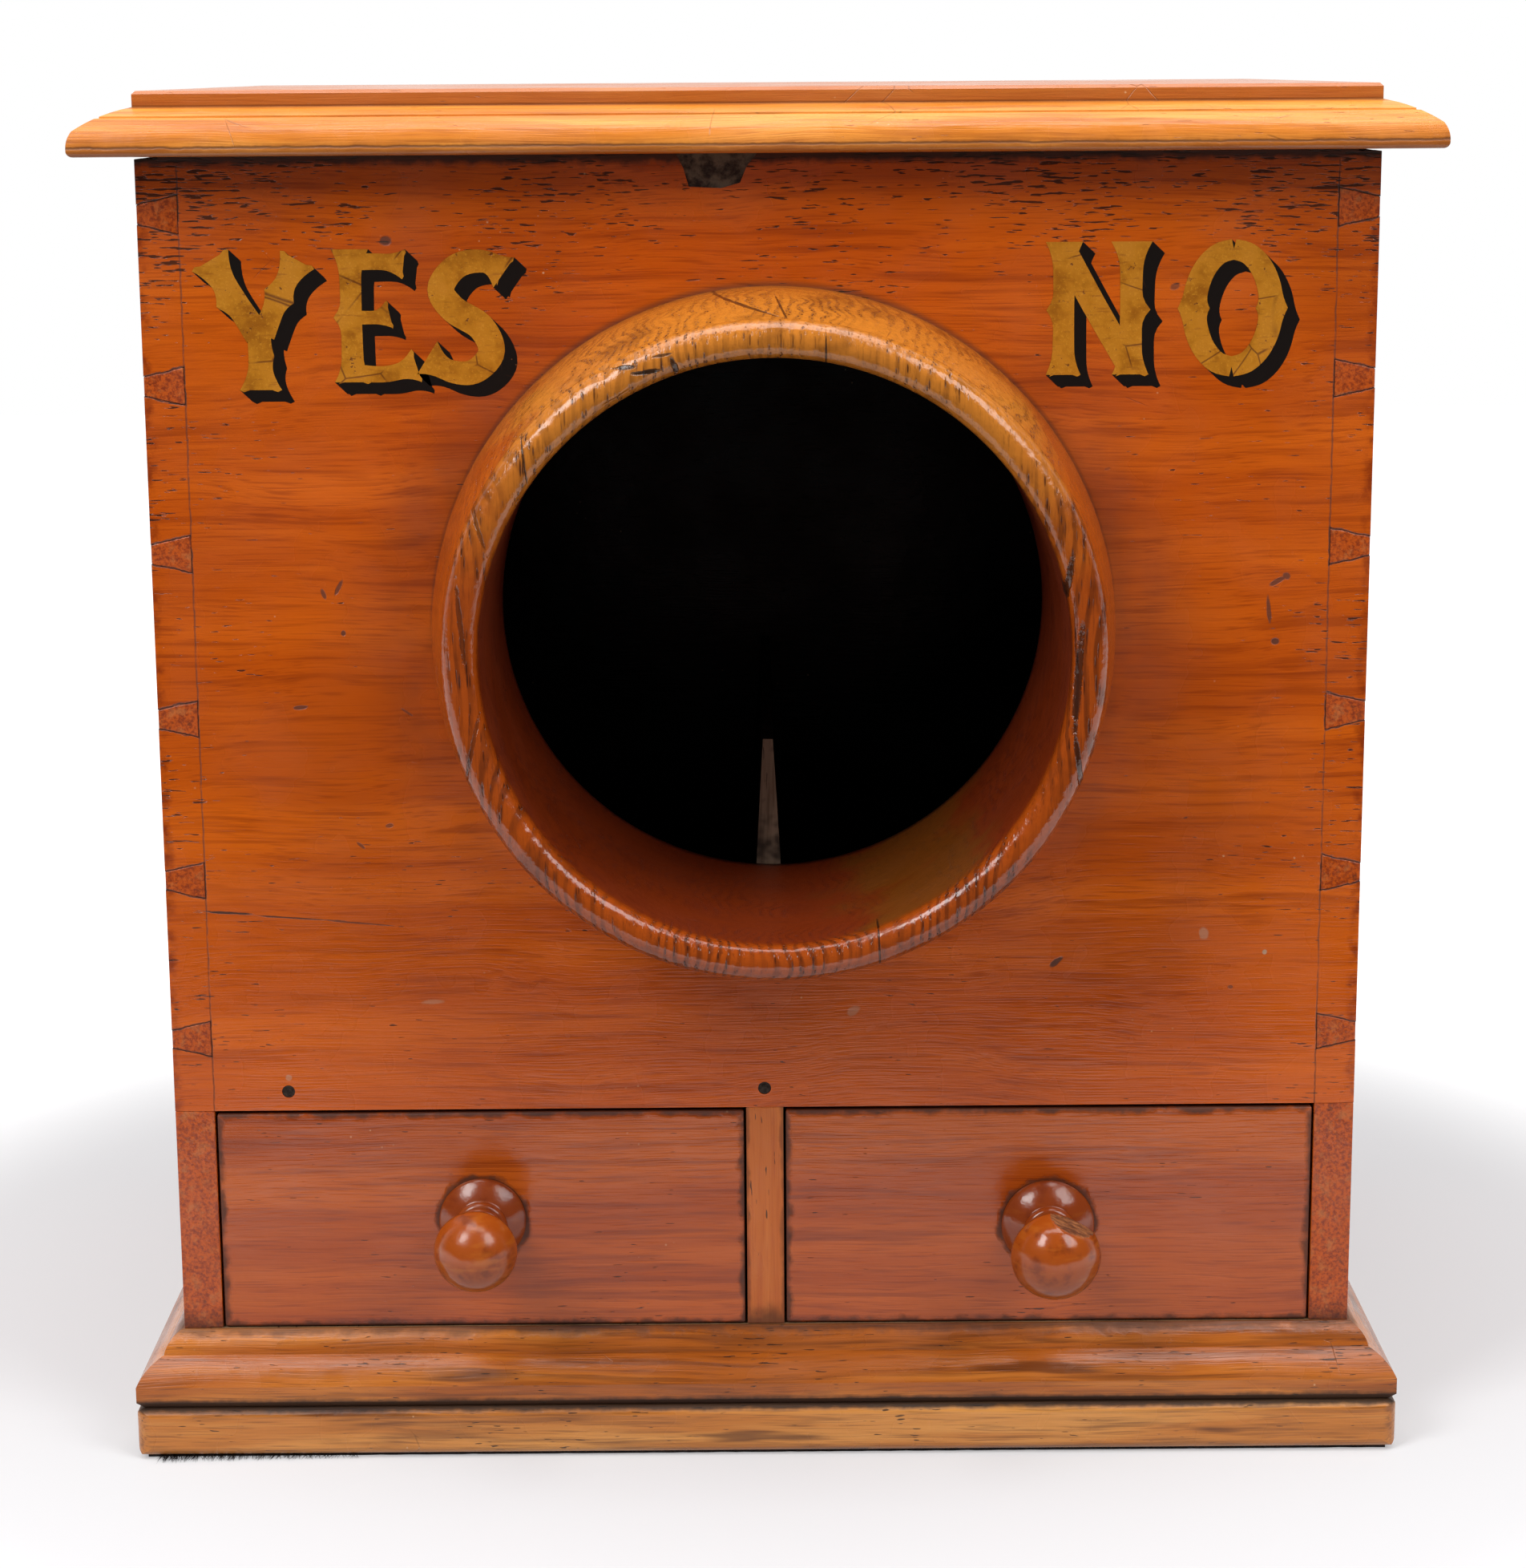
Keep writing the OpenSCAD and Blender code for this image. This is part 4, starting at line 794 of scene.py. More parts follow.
def collar_material(colours):
    """Glossy oak of the collar: golden and paler at the top, partly as painted light from above, redder at the sides,
    dark down the bore.
    """
    material, g, shader, place = new_material("Collar oak")
    kit = groups()
    x, y, z = g.split(place)
    from_x = g.math("SUBTRACT", x, COLLAR_X)
    from_z = g.math("SUBTRACT", z, COLLAR_Z)
    away = g.vector("LENGTH", g.join(from_x, 0.0, from_z))
    oak = g.group(kit["oak"], vector=place)
    cloud = g.noise(place, 60.0, 3.0, 0.6)
    fine = g.noise(place, 420.0, 3.0, 0.6)
    # Paler golden colour towards the top: partly the wood's colour, partly painted light from above.
    high = g.math("DIVIDE", from_z, away)
    high = g.step(g.math("MULTIPLY_ADD", g.math("SUBTRACT", cloud, 0.5), 0.5, high), 0.15, 0.80)
    base = g.mix(rgba(colours.oak), rgba(colours.oak_pale), high)
    base = g.mix(base, rgba(colours.oak_dark), g.step(cloud, 0.50, 0.30, 0.0, 0.45))
    base = g.mix(base, rgba(colours.oak_dark), g.math("MULTIPLY", oak["Early"], g.step(high, 0.0, 1.0, 0.55, 0.30)))
    base = g.mix(base, rgba(colours.oak_dark), g.step(oak["Fibre"], 0.5, 0.26, 0.0, 0.35))
    in_bore = g.math("SUBTRACT", 1.0, g.step(away, 0.0700, 0.0712))
    bore = g.math("MULTIPLY", in_bore, g.step(y, COLLAR_LOW.y + 0.0015, COLLAR_LOW.y + 0.006))
    base = g.mix(base, rgba(colours.bore), g.math("MULTIPLY", bore, 0.82))
    corner = g.join(g.math("SUBTRACT", x, 0.036), 0.0, g.math("SUBTRACT", z, 0.157))
    patch = g.math("MULTIPLY_ADD", g.math("SUBTRACT", cloud, 0.5), 0.04, g.vector("LENGTH", corner))
    olive = g.math("MULTIPLY", bore, g.math("SUBTRACT", 1.0, g.step(patch, 0.008, 0.024)))
    base = g.mix(base, (0.17, 0.060, 0.004, 1.0), g.math("MULTIPLY", olive, 0.6))
    pore = g.math("MULTIPLY", oak["Pore"], g.math("SUBTRACT", 1.0, g.math("MULTIPLY", bore, 0.7)))
    base = g.mix(base, rgba(colours.oak_dark), g.math("MULTIPLY", pore, 0.85))
    # Redder sides of the neck: partly the wood's colour, partly painted shade where the light from above falls less.
    outside = g.step(away, 0.0765, 0.0800)
    on_neck = g.math("MULTIPLY", outside, g.step(y, COLLAR_LOW.y + 0.006, COLLAR_LOW.y + 0.012))
    redden = g.math("MULTIPLY", on_neck, g.math("SUBTRACT", 1.0, g.step(high, 0.6, 1.0)))
    base = g.mix(base, (0.40, 0.075, 0.006, 1.0), g.math("MULTIPLY", redden, 0.72))
    joint = g.step(away, 0.0828, 0.0836)
    foot = g.math("MULTIPLY", joint, g.step(y, FACE_Y - 0.002, FACE_Y - 0.0004))
    scratch = g.group(kit["scratches"], vector=place, scale=45.0, amount=0.4)
    on_lip = g.step(y, COLLAR_LOW.y + 0.012, COLLAR_LOW.y + 0.009)
    lip_marks = g.math("MULTIPLY", marks(g, place, LIP_MARKS, fine), on_lip)
    neck_marks = g.math("MULTIPLY", marks(g, place, NECK_MARKS, fine), g.math("SUBTRACT", 1.0, on_lip))
    dirt_and_shade_mask = g.both(g.math("MULTIPLY", foot, 0.7), g.math("MULTIPLY", scratch["Mask"], 0.35), lip_marks, neck_marks)
    base = g.mix(base, rgba(colours.dirt), dirt_and_shade_mask)
    varnish = g.group(kit["varnish"], vector=place, gloss=0.15, ripple=210.0)
    height = g.math("MULTIPLY_ADD", fine, 0.5, varnish["Height"])
    height = g.math("SUBTRACT", height, g.math("MULTIPLY_ADD", oak["Pore"], 0.6, g.math("MULTIPLY", dirt_and_shade_mask, 1.8)))
    rough = g.math("MULTIPLY_ADD", bore, 0.22, varnish["Roughness"])
    set_shader(g, shader, base, rough, height, 0.00022)
    return material


def knob_material(colours):
    """Polish of the knobs, darker towards the neck and worn on the head."""
    material, g, shader, place = new_material("Knob polish")
    cloud = g.noise(place, 190.0, 3.0, 0.6)
    streak = g.noise(g.vector("MULTIPLY", place, (160.0, 120.0, 620.0)), 1.0, 2.0)
    base = g.mix(rgba(colours.knob), rgba(colours.knob_dark), g.step(cloud, 0.50, 0.30, 0.0, 0.55))
    base = g.mix(base, (0.42, 0.11, 0.012, 1.0), g.step(streak, 0.50, 0.72, 0.0, 0.55))
    x, y, z = g.split(place)
    out = g.math("SUBTRACT", FACE_Y, y)
    low = g.math("SUBTRACT", 1.0, g.step(out, 0.012, 0.021))
    base = g.mix(base, (0.17, 0.024, 0.006, 1.0), g.math("MULTIPLY", low, 0.6))
    # Dark rim where the flange meets the drawer: dirt, with painted shade at the knob's foot.
    rim = g.math("SUBTRACT", 1.0, g.step(out, 0.0003, 0.0018))
    scratch = g.group(groups()["scratches"], vector=place, scale=190.0, amount=0.35)
    dirt_and_shade_mask = g.both(g.math("MULTIPLY", rim, 0.6), g.math("MULTIPLY", scratch["Mask"], 0.35))
    base = g.mix(base, rgba(colours.dirt), dirt_and_shade_mask)
    varnish = g.group(groups()["varnish"], vector=place, gloss=0.17, ripple=380.0)
    height = g.math("SUBTRACT", varnish["Height"], g.math("MULTIPLY", scratch["Mask"], 0.5))
    set_shader(g, shader, base, varnish["Roughness"], height, 0.00010)
    return material


def broken_material(colours):
    """Fresh-looking break in the right knob."""
    material, g, shader, place = new_material("Broken wood")
    grain = g.noise(g.vector("MULTIPLY", place, (300.0, 900.0, 300.0)), 1.0, 4.0, 0.7)
    base = g.mix((0.10, 0.026, 0.007, 1.0), (0.36, 0.13, 0.04, 1.0), g.step(grain, 0.38, 0.66))
    set_shader(g, shader, base, 0.5, grain, 0.0005)
    return material


def gold_material(colours):
    """Aged gilding: rubbed, cracked and a little dull."""
    material, g, shader, place = new_material("Gilding")
    cloud = g.noise(place, 120.0, 3.0, 0.65)
    rub = g.noise(g.vector("MULTIPLY", place, (150.0, 1.0, 900.0)), 1.0, 2.0, 0.7)
    base = g.mix(rgba(colours.gold), rgba(colours.gold_dark), g.step(cloud, 0.54, 0.30, 0.0, 0.75))
    base = g.mix(base, rgba(colours.gold_dark), g.step(rub, 0.56, 0.72, 0.0, 0.55))
    grain = g.noise(place, 1700.0, 1.0, 0.6)
    base = g.mix(base, (0.70, 0.30, 0.02, 1.0), g.step(grain, 0.55, 0.75, 0.0, 0.5))
    scratch = g.group(groups()["scratches"], vector=place, scale=75.0, width=0.022, amount=1.0)
    worn = g.step(g.noise(place, 520.0, 3.0, 0.7), 0.66, 0.70)
    mask = g.both(g.math("MULTIPLY", scratch["Mask"], 0.8), g.math("MULTIPLY", worn, 0.8))
    base = g.mix(base, (0.11, 0.022, 0.003, 1.0), mask)
    height = g.math("SUBTRACT", grain, mask)
    set_shader(g, shader, base, g.step(cloud, 0.3, 0.7, 0.30, 0.5), height, 0.00003, metal=0.25)
    return material


def shade_material(colours):
    """Black sign paint, with the varnish over it."""
    material, g, shader, place = new_material("Shade paint")
    specks = g.group(groups()["scratches"], vector=place, scale=110.0, amount=0.5)
    mask = g.both(g.math("MULTIPLY", specks["Specks"], 0.9), g.math("MULTIPLY", specks["Mask"], 0.4))
    base = g.mix(rgba(colours.shade), (0.16, 0.055, 0.02, 1.0), mask)
    set_shader(g, shader, base, 0.3, g.noise(place, 300.0, 2.0), 0.00003)
    return material


def plain_material(name, base_colour, dark, scale, rough, depth, metal=0.0):
    """A blotchy finish for small fittings."""
    material, g, shader, place = new_material(name)
    cloud = g.noise(place, scale, 4.0, 0.65)
    base = g.mix(rgba(dark), rgba(base_colour), g.step(cloud, 0.34, 0.62))
    set_shader(g, shader, base, g.step(cloud, 0.3, 0.7, rough * 1.2, rough * 0.8), cloud, depth, metal)
    return material


# Shapes

def new_object(name, points, faces, materials, body, smooth=True):
    """A mesh in the frame's own metres that rides on a body."""
    mesh = bpy.data.meshes.new(name)
    mesh.from_pydata([tuple(p) for p in points], [], faces)
    mesh.validate()
    for material in materials:
        mesh.materials.append(material)
    if smooth:
        mesh.shade_smooth()
    obj = bpy.data.objects.new(name, mesh)
    bpy.context.scene.collection.objects.link(obj)
    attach(obj, body)
    return obj


def dress(node, material):
    """Gives a CAD node its material."""
    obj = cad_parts[node]
    obj.data.materials.clear()
    obj.data.materials.append(material)
    return obj


def soften(obj, width):
    """Breaks the arrises of a CAD board with a small bevel."""
    weld = obj.modifiers.new("Weld", "WELD")
    weld.merge_threshold = 0.000001
    bevel = obj.modifiers.new("Arris", "BEVEL")
    bevel.width = width
    bevel.segments = 2
    bevel.limit_method = "ANGLE"
    bevel.angle_limit = math.radians(40)
    bevel.harden_normals = False


def arc(centre, radius, start, end, count):
    """Points on an arc, from one angle in degrees to another."""
    turns = [math.radians(start + (end - start) * i / count) for i in range(count + 1)]
    return [(centre[0] + radius * math.cos(t), centre[1] + radius * math.sin(t)) for t in turns]


def circle_through(a, b, radius):
    """Centre of the circle through a and b that lies to the left of the line from a to b."""
    mid = ((a[0] + b[0]) / 2, (a[1] + b[1]) / 2)
    step = (b[0] - a[0], b[1] - a[1])
    span = math.hypot(*step)
    back = math.sqrt(radius * radius - span * span / 4)
    return (mid[0] + step[1] / span * back, mid[1] - step[0] / span * back)


def lathe(name, section, centre, count, closed, materials, body, wobble=None):
    """Turns a section of (radius, distance out) round an axis that points out of the front."""
    points = []
    for i in range(count):
        turn = 2 * math.pi * i / count
        for radius, out in section:
            shrink = wobble(turn, radius, out) if wobble else 0.0
            r = radius - shrink
            points.append((centre[0] + r * math.sin(turn), FACE_Y - out, centre[1] + r * math.cos(turn)))
    size = len(section)
    faces = []
    last = size if closed else size - 1
    for i in range(count):
        here, beyond = i * size, (i + 1) % count * size
        for j in range(last):
            k = (j + 1) % size
            faces.append((here + j, here + k, beyond + k, beyond + j))
    return new_object(name, points, faces, materials, body)


def collar_section(sizes):
    """Closed section of the collar, from the spigot's end through the bore, lip and neck to the board."""
    bore, lip = sizes.bore_radius, sizes.lip_radius
    middle = (bore + lip - sizes.lip_cut, COLLAR_OUT - lip)
    base = COLLAR_HIGH.x - COLLAR_X
    neck = (bore + sizes.neck_wall, COLLAR_OUT - sizes.neck_back)
    swell = circle_through(neck, (base, 0.0), sizes.neck_swell)
    low = math.degrees(math.atan2(0.0 - swell[1], base - swell[0]))
    high = math.degrees(math.atan2(neck[1] - swell[1], neck[0] - swell[0]))
    start = 180 - math.degrees(math.acos(1 - sizes.lip_cut / lip))
    bore_line = [(bore, -sizes.spigot_length + (middle[1] + sizes.spigot_length) * i / 24) for i in range(25)]
    groove = [(bore + 0.00022, COLLAR_OUT - 0.0026), (bore + 0.00060, COLLAR_OUT - 0.0021)]
    lip_line = [p for p in arc(middle, lip, start, -42, 40) if p[1] > middle[1] - lip * 0.72]
    lip_line = [p for p in lip_line if p[0] > bore + 0.0009 or p[1] < middle[1] + 0.0004]
    neck_line = arc(swell, sizes.neck_swell, high, low, 22)
    spigot = bore + sizes.spigot_wall
    back = [(spigot, 0.0), (spigot, -sizes.spigot_length)]
    return bore_line + groove + lip_line + neck_line[:-1] + [(base, 0.0)] + back


def collar_wobble(sizes):
    """Hand-turned unevenness, always inwards, and the gouge in the upper left of the lip."""
    def shrink(turn, radius, out):
        soft = noise.noise(Vector((math.sin(turn) * 2.2, math.cos(turn) * 2.2, out * 60.0)))
        fine = noise.noise(Vector((math.sin(turn) * 16.0, math.cos(turn) * 16.0, out * 400.0)))
        value = (soft + 1) / 2 * sizes.collar_wobble + (fine + 1) / 2 * sizes.collar_wobble * 0.35
        gouge_turn = math.radians(-30)
        off = abs(turn - 2 * math.pi - gouge_turn)
        ridge = noise.noise(Vector((turn * 40.0, out * 300.0, 3.0)))
        width = math.radians(5.5)
        if off < width and out > COLLAR_OUT - 0.0045 and radius > sizes.bore_radius + 0.002:
            value += 0.0009 * (1 - off / width) * max(0.0, 0.6 + ridge)
        return value if radius > sizes.bore_radius + 0.0004 else -value * 0.0
    return shrink


def knob_section(sizes, head, out):
    """Half section of a knob, from the drawer to the top of its dome."""
    dome = sizes.knob_dome
    widest = out - dome
    dome_r = (head * head + dome * dome) / (2 * dome)
    back_r = 0.0135
    back_at = widest - 0.001 + math.sqrt(back_r * back_r - head * head)
    neck = sizes.knob_neck
    rear_y = back_at - math.sqrt(back_r * back_r - neck * neck)
    flange = head + 0.0007
    cap_r = 0.0157
    cap_at = 0.0012 - math.sqrt(cap_r * cap_r - flange * flange)
    cap_end = math.asin((neck + 0.0007) / cap_r)
    cap_start = math.asin(flange / cap_r)
    cap = [(cap_r * math.sin(t), cap_at + cap_r * math.cos(t))
           for t in (cap_start + (cap_end - cap_start) * i / 10 for i in range(11))]
    bead = arc((neck, 0.0069), 0.0016, -62, 90, 12)
    small = arc((neck, 0.0104), 0.0011, -80, 88, 10)
    back = []
    start, end = math.acos(min(1.0, (neck) / back_r)), math.acos(head / back_r)
    for i in range(13):
        t = start + (end - start) * i / 12
        back.append((back_r * math.cos(t), back_at - back_r * math.sin(t)))
    edge = math.asin(head / dome_r)
    dome_line = [(dome_r * math.sin(edge * (1 - i / 22)), out - dome_r + dome_r * math.cos(edge * (1 - i / 22)))
                 for i in range(22)] + [(0.00001, out)]
    return [(flange, 0.0)] + cap + bead + small + [(neck, rear_y - 0.002)] + back + dome_line


# The split end of a stroke: place across the stroke, and rise beyond its end, both as parts of its half width
FISHTAIL = ((1.0, 0.0), (0.80, 0.16), (0.50, -0.02), (0.18, -0.52), (0.0, -0.72),
            (-0.18, -0.52), (-0.50, -0.02), (-0.80, 0.16), (-1.0, 0.0))


def smooth_path(points, count):
    """Evenly counted points of a smooth curve through the given ones."""
    path = []
    last = len(points) - 1
    for i in range(count + 1):
        t = i / count * last
        k = min(int(t), last - 1)
        u = t - k
        p0, p1, p2, p3 = (points[max(0, min(last, k + j))] for j in (-1, 0, 1, 2))
        path.append(tuple(
            0.5 * (2 * p1[a] + (p2[a] - p0[a]) * u + (2 * p0[a] - 5 * p1[a] + 4 * p2[a] - p3[a]) * u * u
                   + (3 * p1[a] - p0[a] - 3 * p2[a] + p3[a]) * u ** 3)
            for a in (0, 1)))
    return path


def split_end(tip, direction, half, stroke_half):
    """Triangles of a fishtail end."""
    dx, dz = direction
    rim = []
    for across, rise in FISHTAIL:
        rim.append((tip[0] - dz * half * across + dx * stroke_half * rise,
                    tip[1] + dx * half * across + dz * stroke_half * rise))
    root = (tip[0] - dx * stroke_half * 1.1, tip[1] - dz * stroke_half * 1.1)
    return [(root, rim[i], rim[i + 1]) for i in range(len(rim) - 1)]


def ribbon(points, half, start=0.0, end=0.0, spurs=(0.0, 0.0), swell=-0.1, count=26):
    """A letter's stroke as convex pieces: waisted or swollen, with flared split ends and pointed spurs."""
    path = smooth_path(points, count)
    far = [0.0]
    for a, b in zip(path, path[1:]):
        far.append(far[-1] + math.hypot(b[0] - a[0], b[1] - a[1]))
    total = far[-1]
    reach = half * 2.4
    left, right, steps, halves = [], [], [], []
    for i, (x, z) in enumerate(path):
        a, b = path[max(0, i - 1)], path[min(count, i + 1)]
        span = math.hypot(b[0] - a[0], b[1] - a[1])
        dx, dz = (b[0] - a[0]) / span, (b[1] - a[1]) / span
        width = half * (1 + swell * math.sin(math.pi * far[i] / total))
        width += half * start * max(0.0, 1 - far[i] / reach) ** 2
        width += half * end * max(0.0, 1 - (total - far[i]) / reach) ** 2
        spur = half * max(0.0, 1 - abs(far[i] - total / 2) / (half * 1.5)) ** 2
        left.append((x - dz * (width + spur * spurs[0]), z + dx * (width + spur * spurs[0])))
        right.append((x + dz * (width + spur * spurs[1]), z - dx * (width + spur * spurs[1])))
        steps.append((dx, dz))
        halves.append(width)
    cut = 3 if end else 0
    first = 3 if start else 0
    pieces = [(left[i], left[i + 1], right[i + 1], right[i]) for i in range(count)]
    if start:
        pieces = pieces[1:]
        pieces += split_end(path[1], (-steps[0][0], -steps[0][1]), halves[1], half)
    if end:
        pieces = pieces[:-1]
        pieces += split_end(path[-2], steps[-1], halves[-2], half)
    return pieces


def letter_y(w, h, s):
    return (ribbon([(w * 0.20, h * 0.97), (w * 0.34, h * 0.72), (w * 0.52, h * 0.42)], s * 0.50, start=0.7, spurs=(0.0, 0.6))
            + ribbon([(w * 0.82, h * 0.97), (w * 0.68, h * 0.70), (w * 0.56, h * 0.42)], s * 0.44, start=0.75, spurs=(0.5, 0.5))
            + ribbon([(w * 0.53, h * 0.01), (w * 0.53, h * 0.52)], s * 0.48, start=0.75, spurs=(0.0, 0.25)))


def letter_e(w, h, s):
    stem = w * 0.30
    return (ribbon([(stem, h * 0.01), (stem, h * 0.99)], s * 0.44, start=0.75, end=0.6, spurs=(0.65, 0.0))
            + ribbon([(stem, h * 0.90), (w * 0.60, h * 0.90), (w * 0.86, h * 0.88)], s * 0.34, end=0.75)
            + ribbon([(stem, h * 0.50), (w * 0.55, h * 0.50), (w * 0.70, h * 0.52)], s * 0.28, end=1.0)
            + ribbon([(stem, h * 0.10), (w * 0.65, h * 0.09), (w * 0.97, h * 0.15)], s * 0.34, end=1.05))


def letter_s(w, h, s):
    spine = [(w * 0.97, h * 0.80), (w * 0.72, h * 0.89), (w * 0.40, h * 0.86), (w * 0.20, h * 0.70),
             (w * 0.34, h * 0.55), (w * 0.66, h * 0.42), (w * 0.78, h * 0.24), (w * 0.58, h * 0.10),
             (w * 0.30, h * 0.10), (w * 0.02, h * 0.20)]
    return ribbon(spine, s * 0.37, start=1.1, end=1.0, spurs=(0.0, 0.0), swell=0.42, count=56)


def letter_n(w, h, s):
    left, right = w * 0.18, w * 0.78
    return (ribbon([(left, h * 0.01), (left, h * 0.99)], s * 0.44, start=0.65, end=0.6, spurs=(0.6, 0.0))
            + ribbon([(right, h * 0.01), (right, h * 0.99)], s * 0.46, start=0.65, end=0.7, spurs=(0.0, 0.7))
            + ribbon([(left, h * 0.93), (w * 0.46, h * 0.52), (right, h * 0.08)], s * 0.46, swell=0.0))


def letter_o(w, h, s):
    pieces = []
    for side in (-1, 1):
        half_ring = []
        for i in range(9):
            turn = math.pi * i / 8
            half_ring.append((w * 0.5 + side * (w * 0.5 - s * 0.46) * math.sin(turn),
                              h * 0.5 + (h * 0.5 - s * 0.40) * math.cos(turn)))
        spurs = (0.45, 0.35) if side > 0 else (0.35, 0.45)
        pieces += ribbon(half_ring, s * 0.38, swell=0.2, spurs=spurs, count=40)
    return pieces


# Each letter: its strokes, the left edge and the foot in millimetres, and its width
WORDS = (
    ("y", letter_y, -139.8, 272.0, 34.6),
    ("e", letter_e, -106.0, 273.4, 23.6),
    ("s", letter_s, -81.2, 273.6, 20.6),
    ("n", letter_n, 69.0, 274.0, 27.2),
    ("o", letter_o, 102.6, 274.2, 24.6),
)


def flat_union(shapes):
    """One triangulated outline that covers all the convex shapes."""
    points, faces = [], []
    for shape in shapes:
        area = sum(a[0] * b[1] - b[0] * a[1] for a, b in zip(shape, shape[1:] + shape[:1]))
        if abs(area) < 1e-12:
            continue
        start = len(points)
        points += [Vector(p) for p in (shape if area > 0 else shape[::-1])]
        faces.append(list(range(start, start + len(shape))))
    flat, edges, made, from_points, from_edges, from_faces = delaunay_2d_cdt(points, [], faces, 1, 1e-8)
    return flat, [face for face, origin in zip(made, from_faces) if origin]


def swept(shapes, fall):
    """Each convex shape drawn out along a fall."""
    drawn = []
    for shape in shapes:
        corners = list(shape) + [(x + fall[0], z + fall[1]) for x, z in shape]
        drawn.append(tuple(corners[i] for i in convex_hull_2d([Vector(c) for c in corners])))
    return drawn


def painted(name, shapes, depth, material):
    """A thin coat of paint in the outline of shapes, on the front board."""
    flat, faces = flat_union(shapes)
    front = [(p[0], FACE_Y - depth, p[1]) for p in flat]
    return new_object(name, front, [tuple(f) for f in faces], [material], "carcass", smooth=False)


# Operators

class BALLOT_OT_boards(bpy.types.Operator):
    """Give the front, side and back boards their worn pine"""

    bl_idname = "ballot.boards"
    bl_label = "Boards"

    def execute(self, context):
        sizes, colours, stage = settings()
        side = side_material(colours)
        dress("front_board", front_material(colours))
        for node, material in (
            ("left_side_board", side),
            ("right_side_board", side), ("back_board", back_material(colours)),
            ("drawer_divider", divider_material(colours)),
        ):
            soften(dress(node, material), sizes.arris)
        dress("lock_cutout_plug", plain_material("Filler", colours.filler, colours.dirt, 260.0, 0.6, 0.0004))
        dress("front_board_nails", plain_material("Nail iron", colours.iron, colours.dirt, 900.0, 0.6, 0.0001, 0.6))
        return {"FINISHED"}


class BALLOT_OT_lid(bpy.types.Operator):
    """Give the lid its golden wood"""

    bl_idname = "ballot.lid"
    bl_label = "Lid"

    def execute(self, context):
        dress("lid", lid_material(settings()[1]))
        return {"FINISHED"}


class BALLOT_OT_base(bpy.types.Operator):
    """Give the slab and the plinth mouldings their streaky wood"""

    bl_idname = "ballot.base"
    bl_label = "Base"

    def execute(self, context):
        colours = settings()[1]
        slab = base_material("Slab wood", "X", 9.0, colours.slab_pale, colours.slab, colours)
        across = base_material("Moulding across", "X", 11.0, colours.moulding_pale, colours.moulding, colours)
        deep = base_material("Moulding deep", "Y", 10.0, colours.moulding_pale, colours.moulding, colours)
        dress("base_slab", slab)
        for node in ("plinth_front_moulding", "plinth_back_moulding"):
            dress(node, across)
        for node in ("plinth_left_moulding", "plinth_right_moulding"):
            dress(node, deep)
        return {"FINISHED"}


class BALLOT_OT_inside(bpy.types.Operator):
    """Give the floors, the partition and the drawer boxes their bare wood"""

    bl_idname = "ballot.inside"
    bl_label = "Inside"

    def execute(self, context):
        colours = settings()[1]
        bare = inner_material(colours)
        nodes = ["drawer_floor", "chamber_floor"]
        for side in ("left", "right"):
            nodes += [f"{side}_drawer_{part}" for part in ("outer_side", "inner_side", "back", "bottom")]
        for node in nodes:
            dress(node, bare)
        dress("chamber_partition", partition_material(colours))
        return {"FINISHED"}


class BALLOT_OT_drawers(bpy.types.Operator):
    """Give the drawer fronts their red wood"""

    bl_idname = "ballot.drawers"
    bl_label = "Drawer fronts"

    def execute(self, context):
        sizes, colours, stage = settings()
        material = drawer_material(colours)
        for side in ("left", "right"):
            soften(dress(f"{side}_drawer_front", material), sizes.arris * 1.6)
        return {"FINISHED"}


class BALLOT_OT_collar(bpy.types.Operator):
    """Turn the collar, a little out of true, with its gouge and cracks"""

    bl_idname = "ballot.collar"
    bl_label = "Collar"

    def execute(self, context):
        sizes, colours, stage = settings()
        collar = lathe("collar", collar_section(sizes), (COLLAR_X, COLLAR_Z), 360, True,
                       [collar_material(colours)], "carcass", collar_wobble(sizes))
        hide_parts("arm_collar")
        return {"FINISHED"}


class BALLOT_OT_knobs(bpy.types.Operator):
    """Turn both knobs and break the right one"""

    bl_idname = "ballot.knobs"
    bl_label = "Knobs"

    def execute(self, context):
        sizes, colours, stage = settings()
        polish = knob_material(colours)
        broken = broken_material(colours)
        for side in ("left", "right"):
            node = f"{side}_drawer_knob"
            low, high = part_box(node)
            centre = ((low.x + high.x) / 2, (low.z + high.z) / 2)
            head = (high.x - low.x) / 2 - 0.7 * MM
            section = knob_section(sizes, head, FACE_Y - low.y)
            knob = lathe(f"{side}_knob", section, centre, 96, False, [polish, broken], f"{side}_drawer")
            if side == "right":
                self.chip(knob, centre, head, FACE_Y - low.y - sizes.knob_dome)
            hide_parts(node)
        return {"FINISHED"}

    def chip(self, knob, centre, head, widest):
        """Flattens the head beyond a leaning plane, with a rough face."""
        across = Matrix.Rotation(math.radians(24), 3, "Y") @ Matrix.Rotation(math.radians(12), 3, "X")
        normal = across @ Vector((0, 0, 1))
        middle = Vector((centre[0], FACE_Y - widest, centre[1]))
        cut = set()
        for vertex in knob.data.vertices:
            away = (vertex.co - middle).dot(normal) - 9.2 * MM
            out = FACE_Y - vertex.co.y
            if away > 0 and 0.014 < out < widest + 0.0062:
                rough = noise.noise(vertex.co * 700.0) * 0.0003
                vertex.co -= normal * (away + abs(rough))
                cut.add(vertex.index)
        for face in knob.data.polygons:
            if sum(v in cut for v in face.vertices) >= 3:
                face.material_index = 1


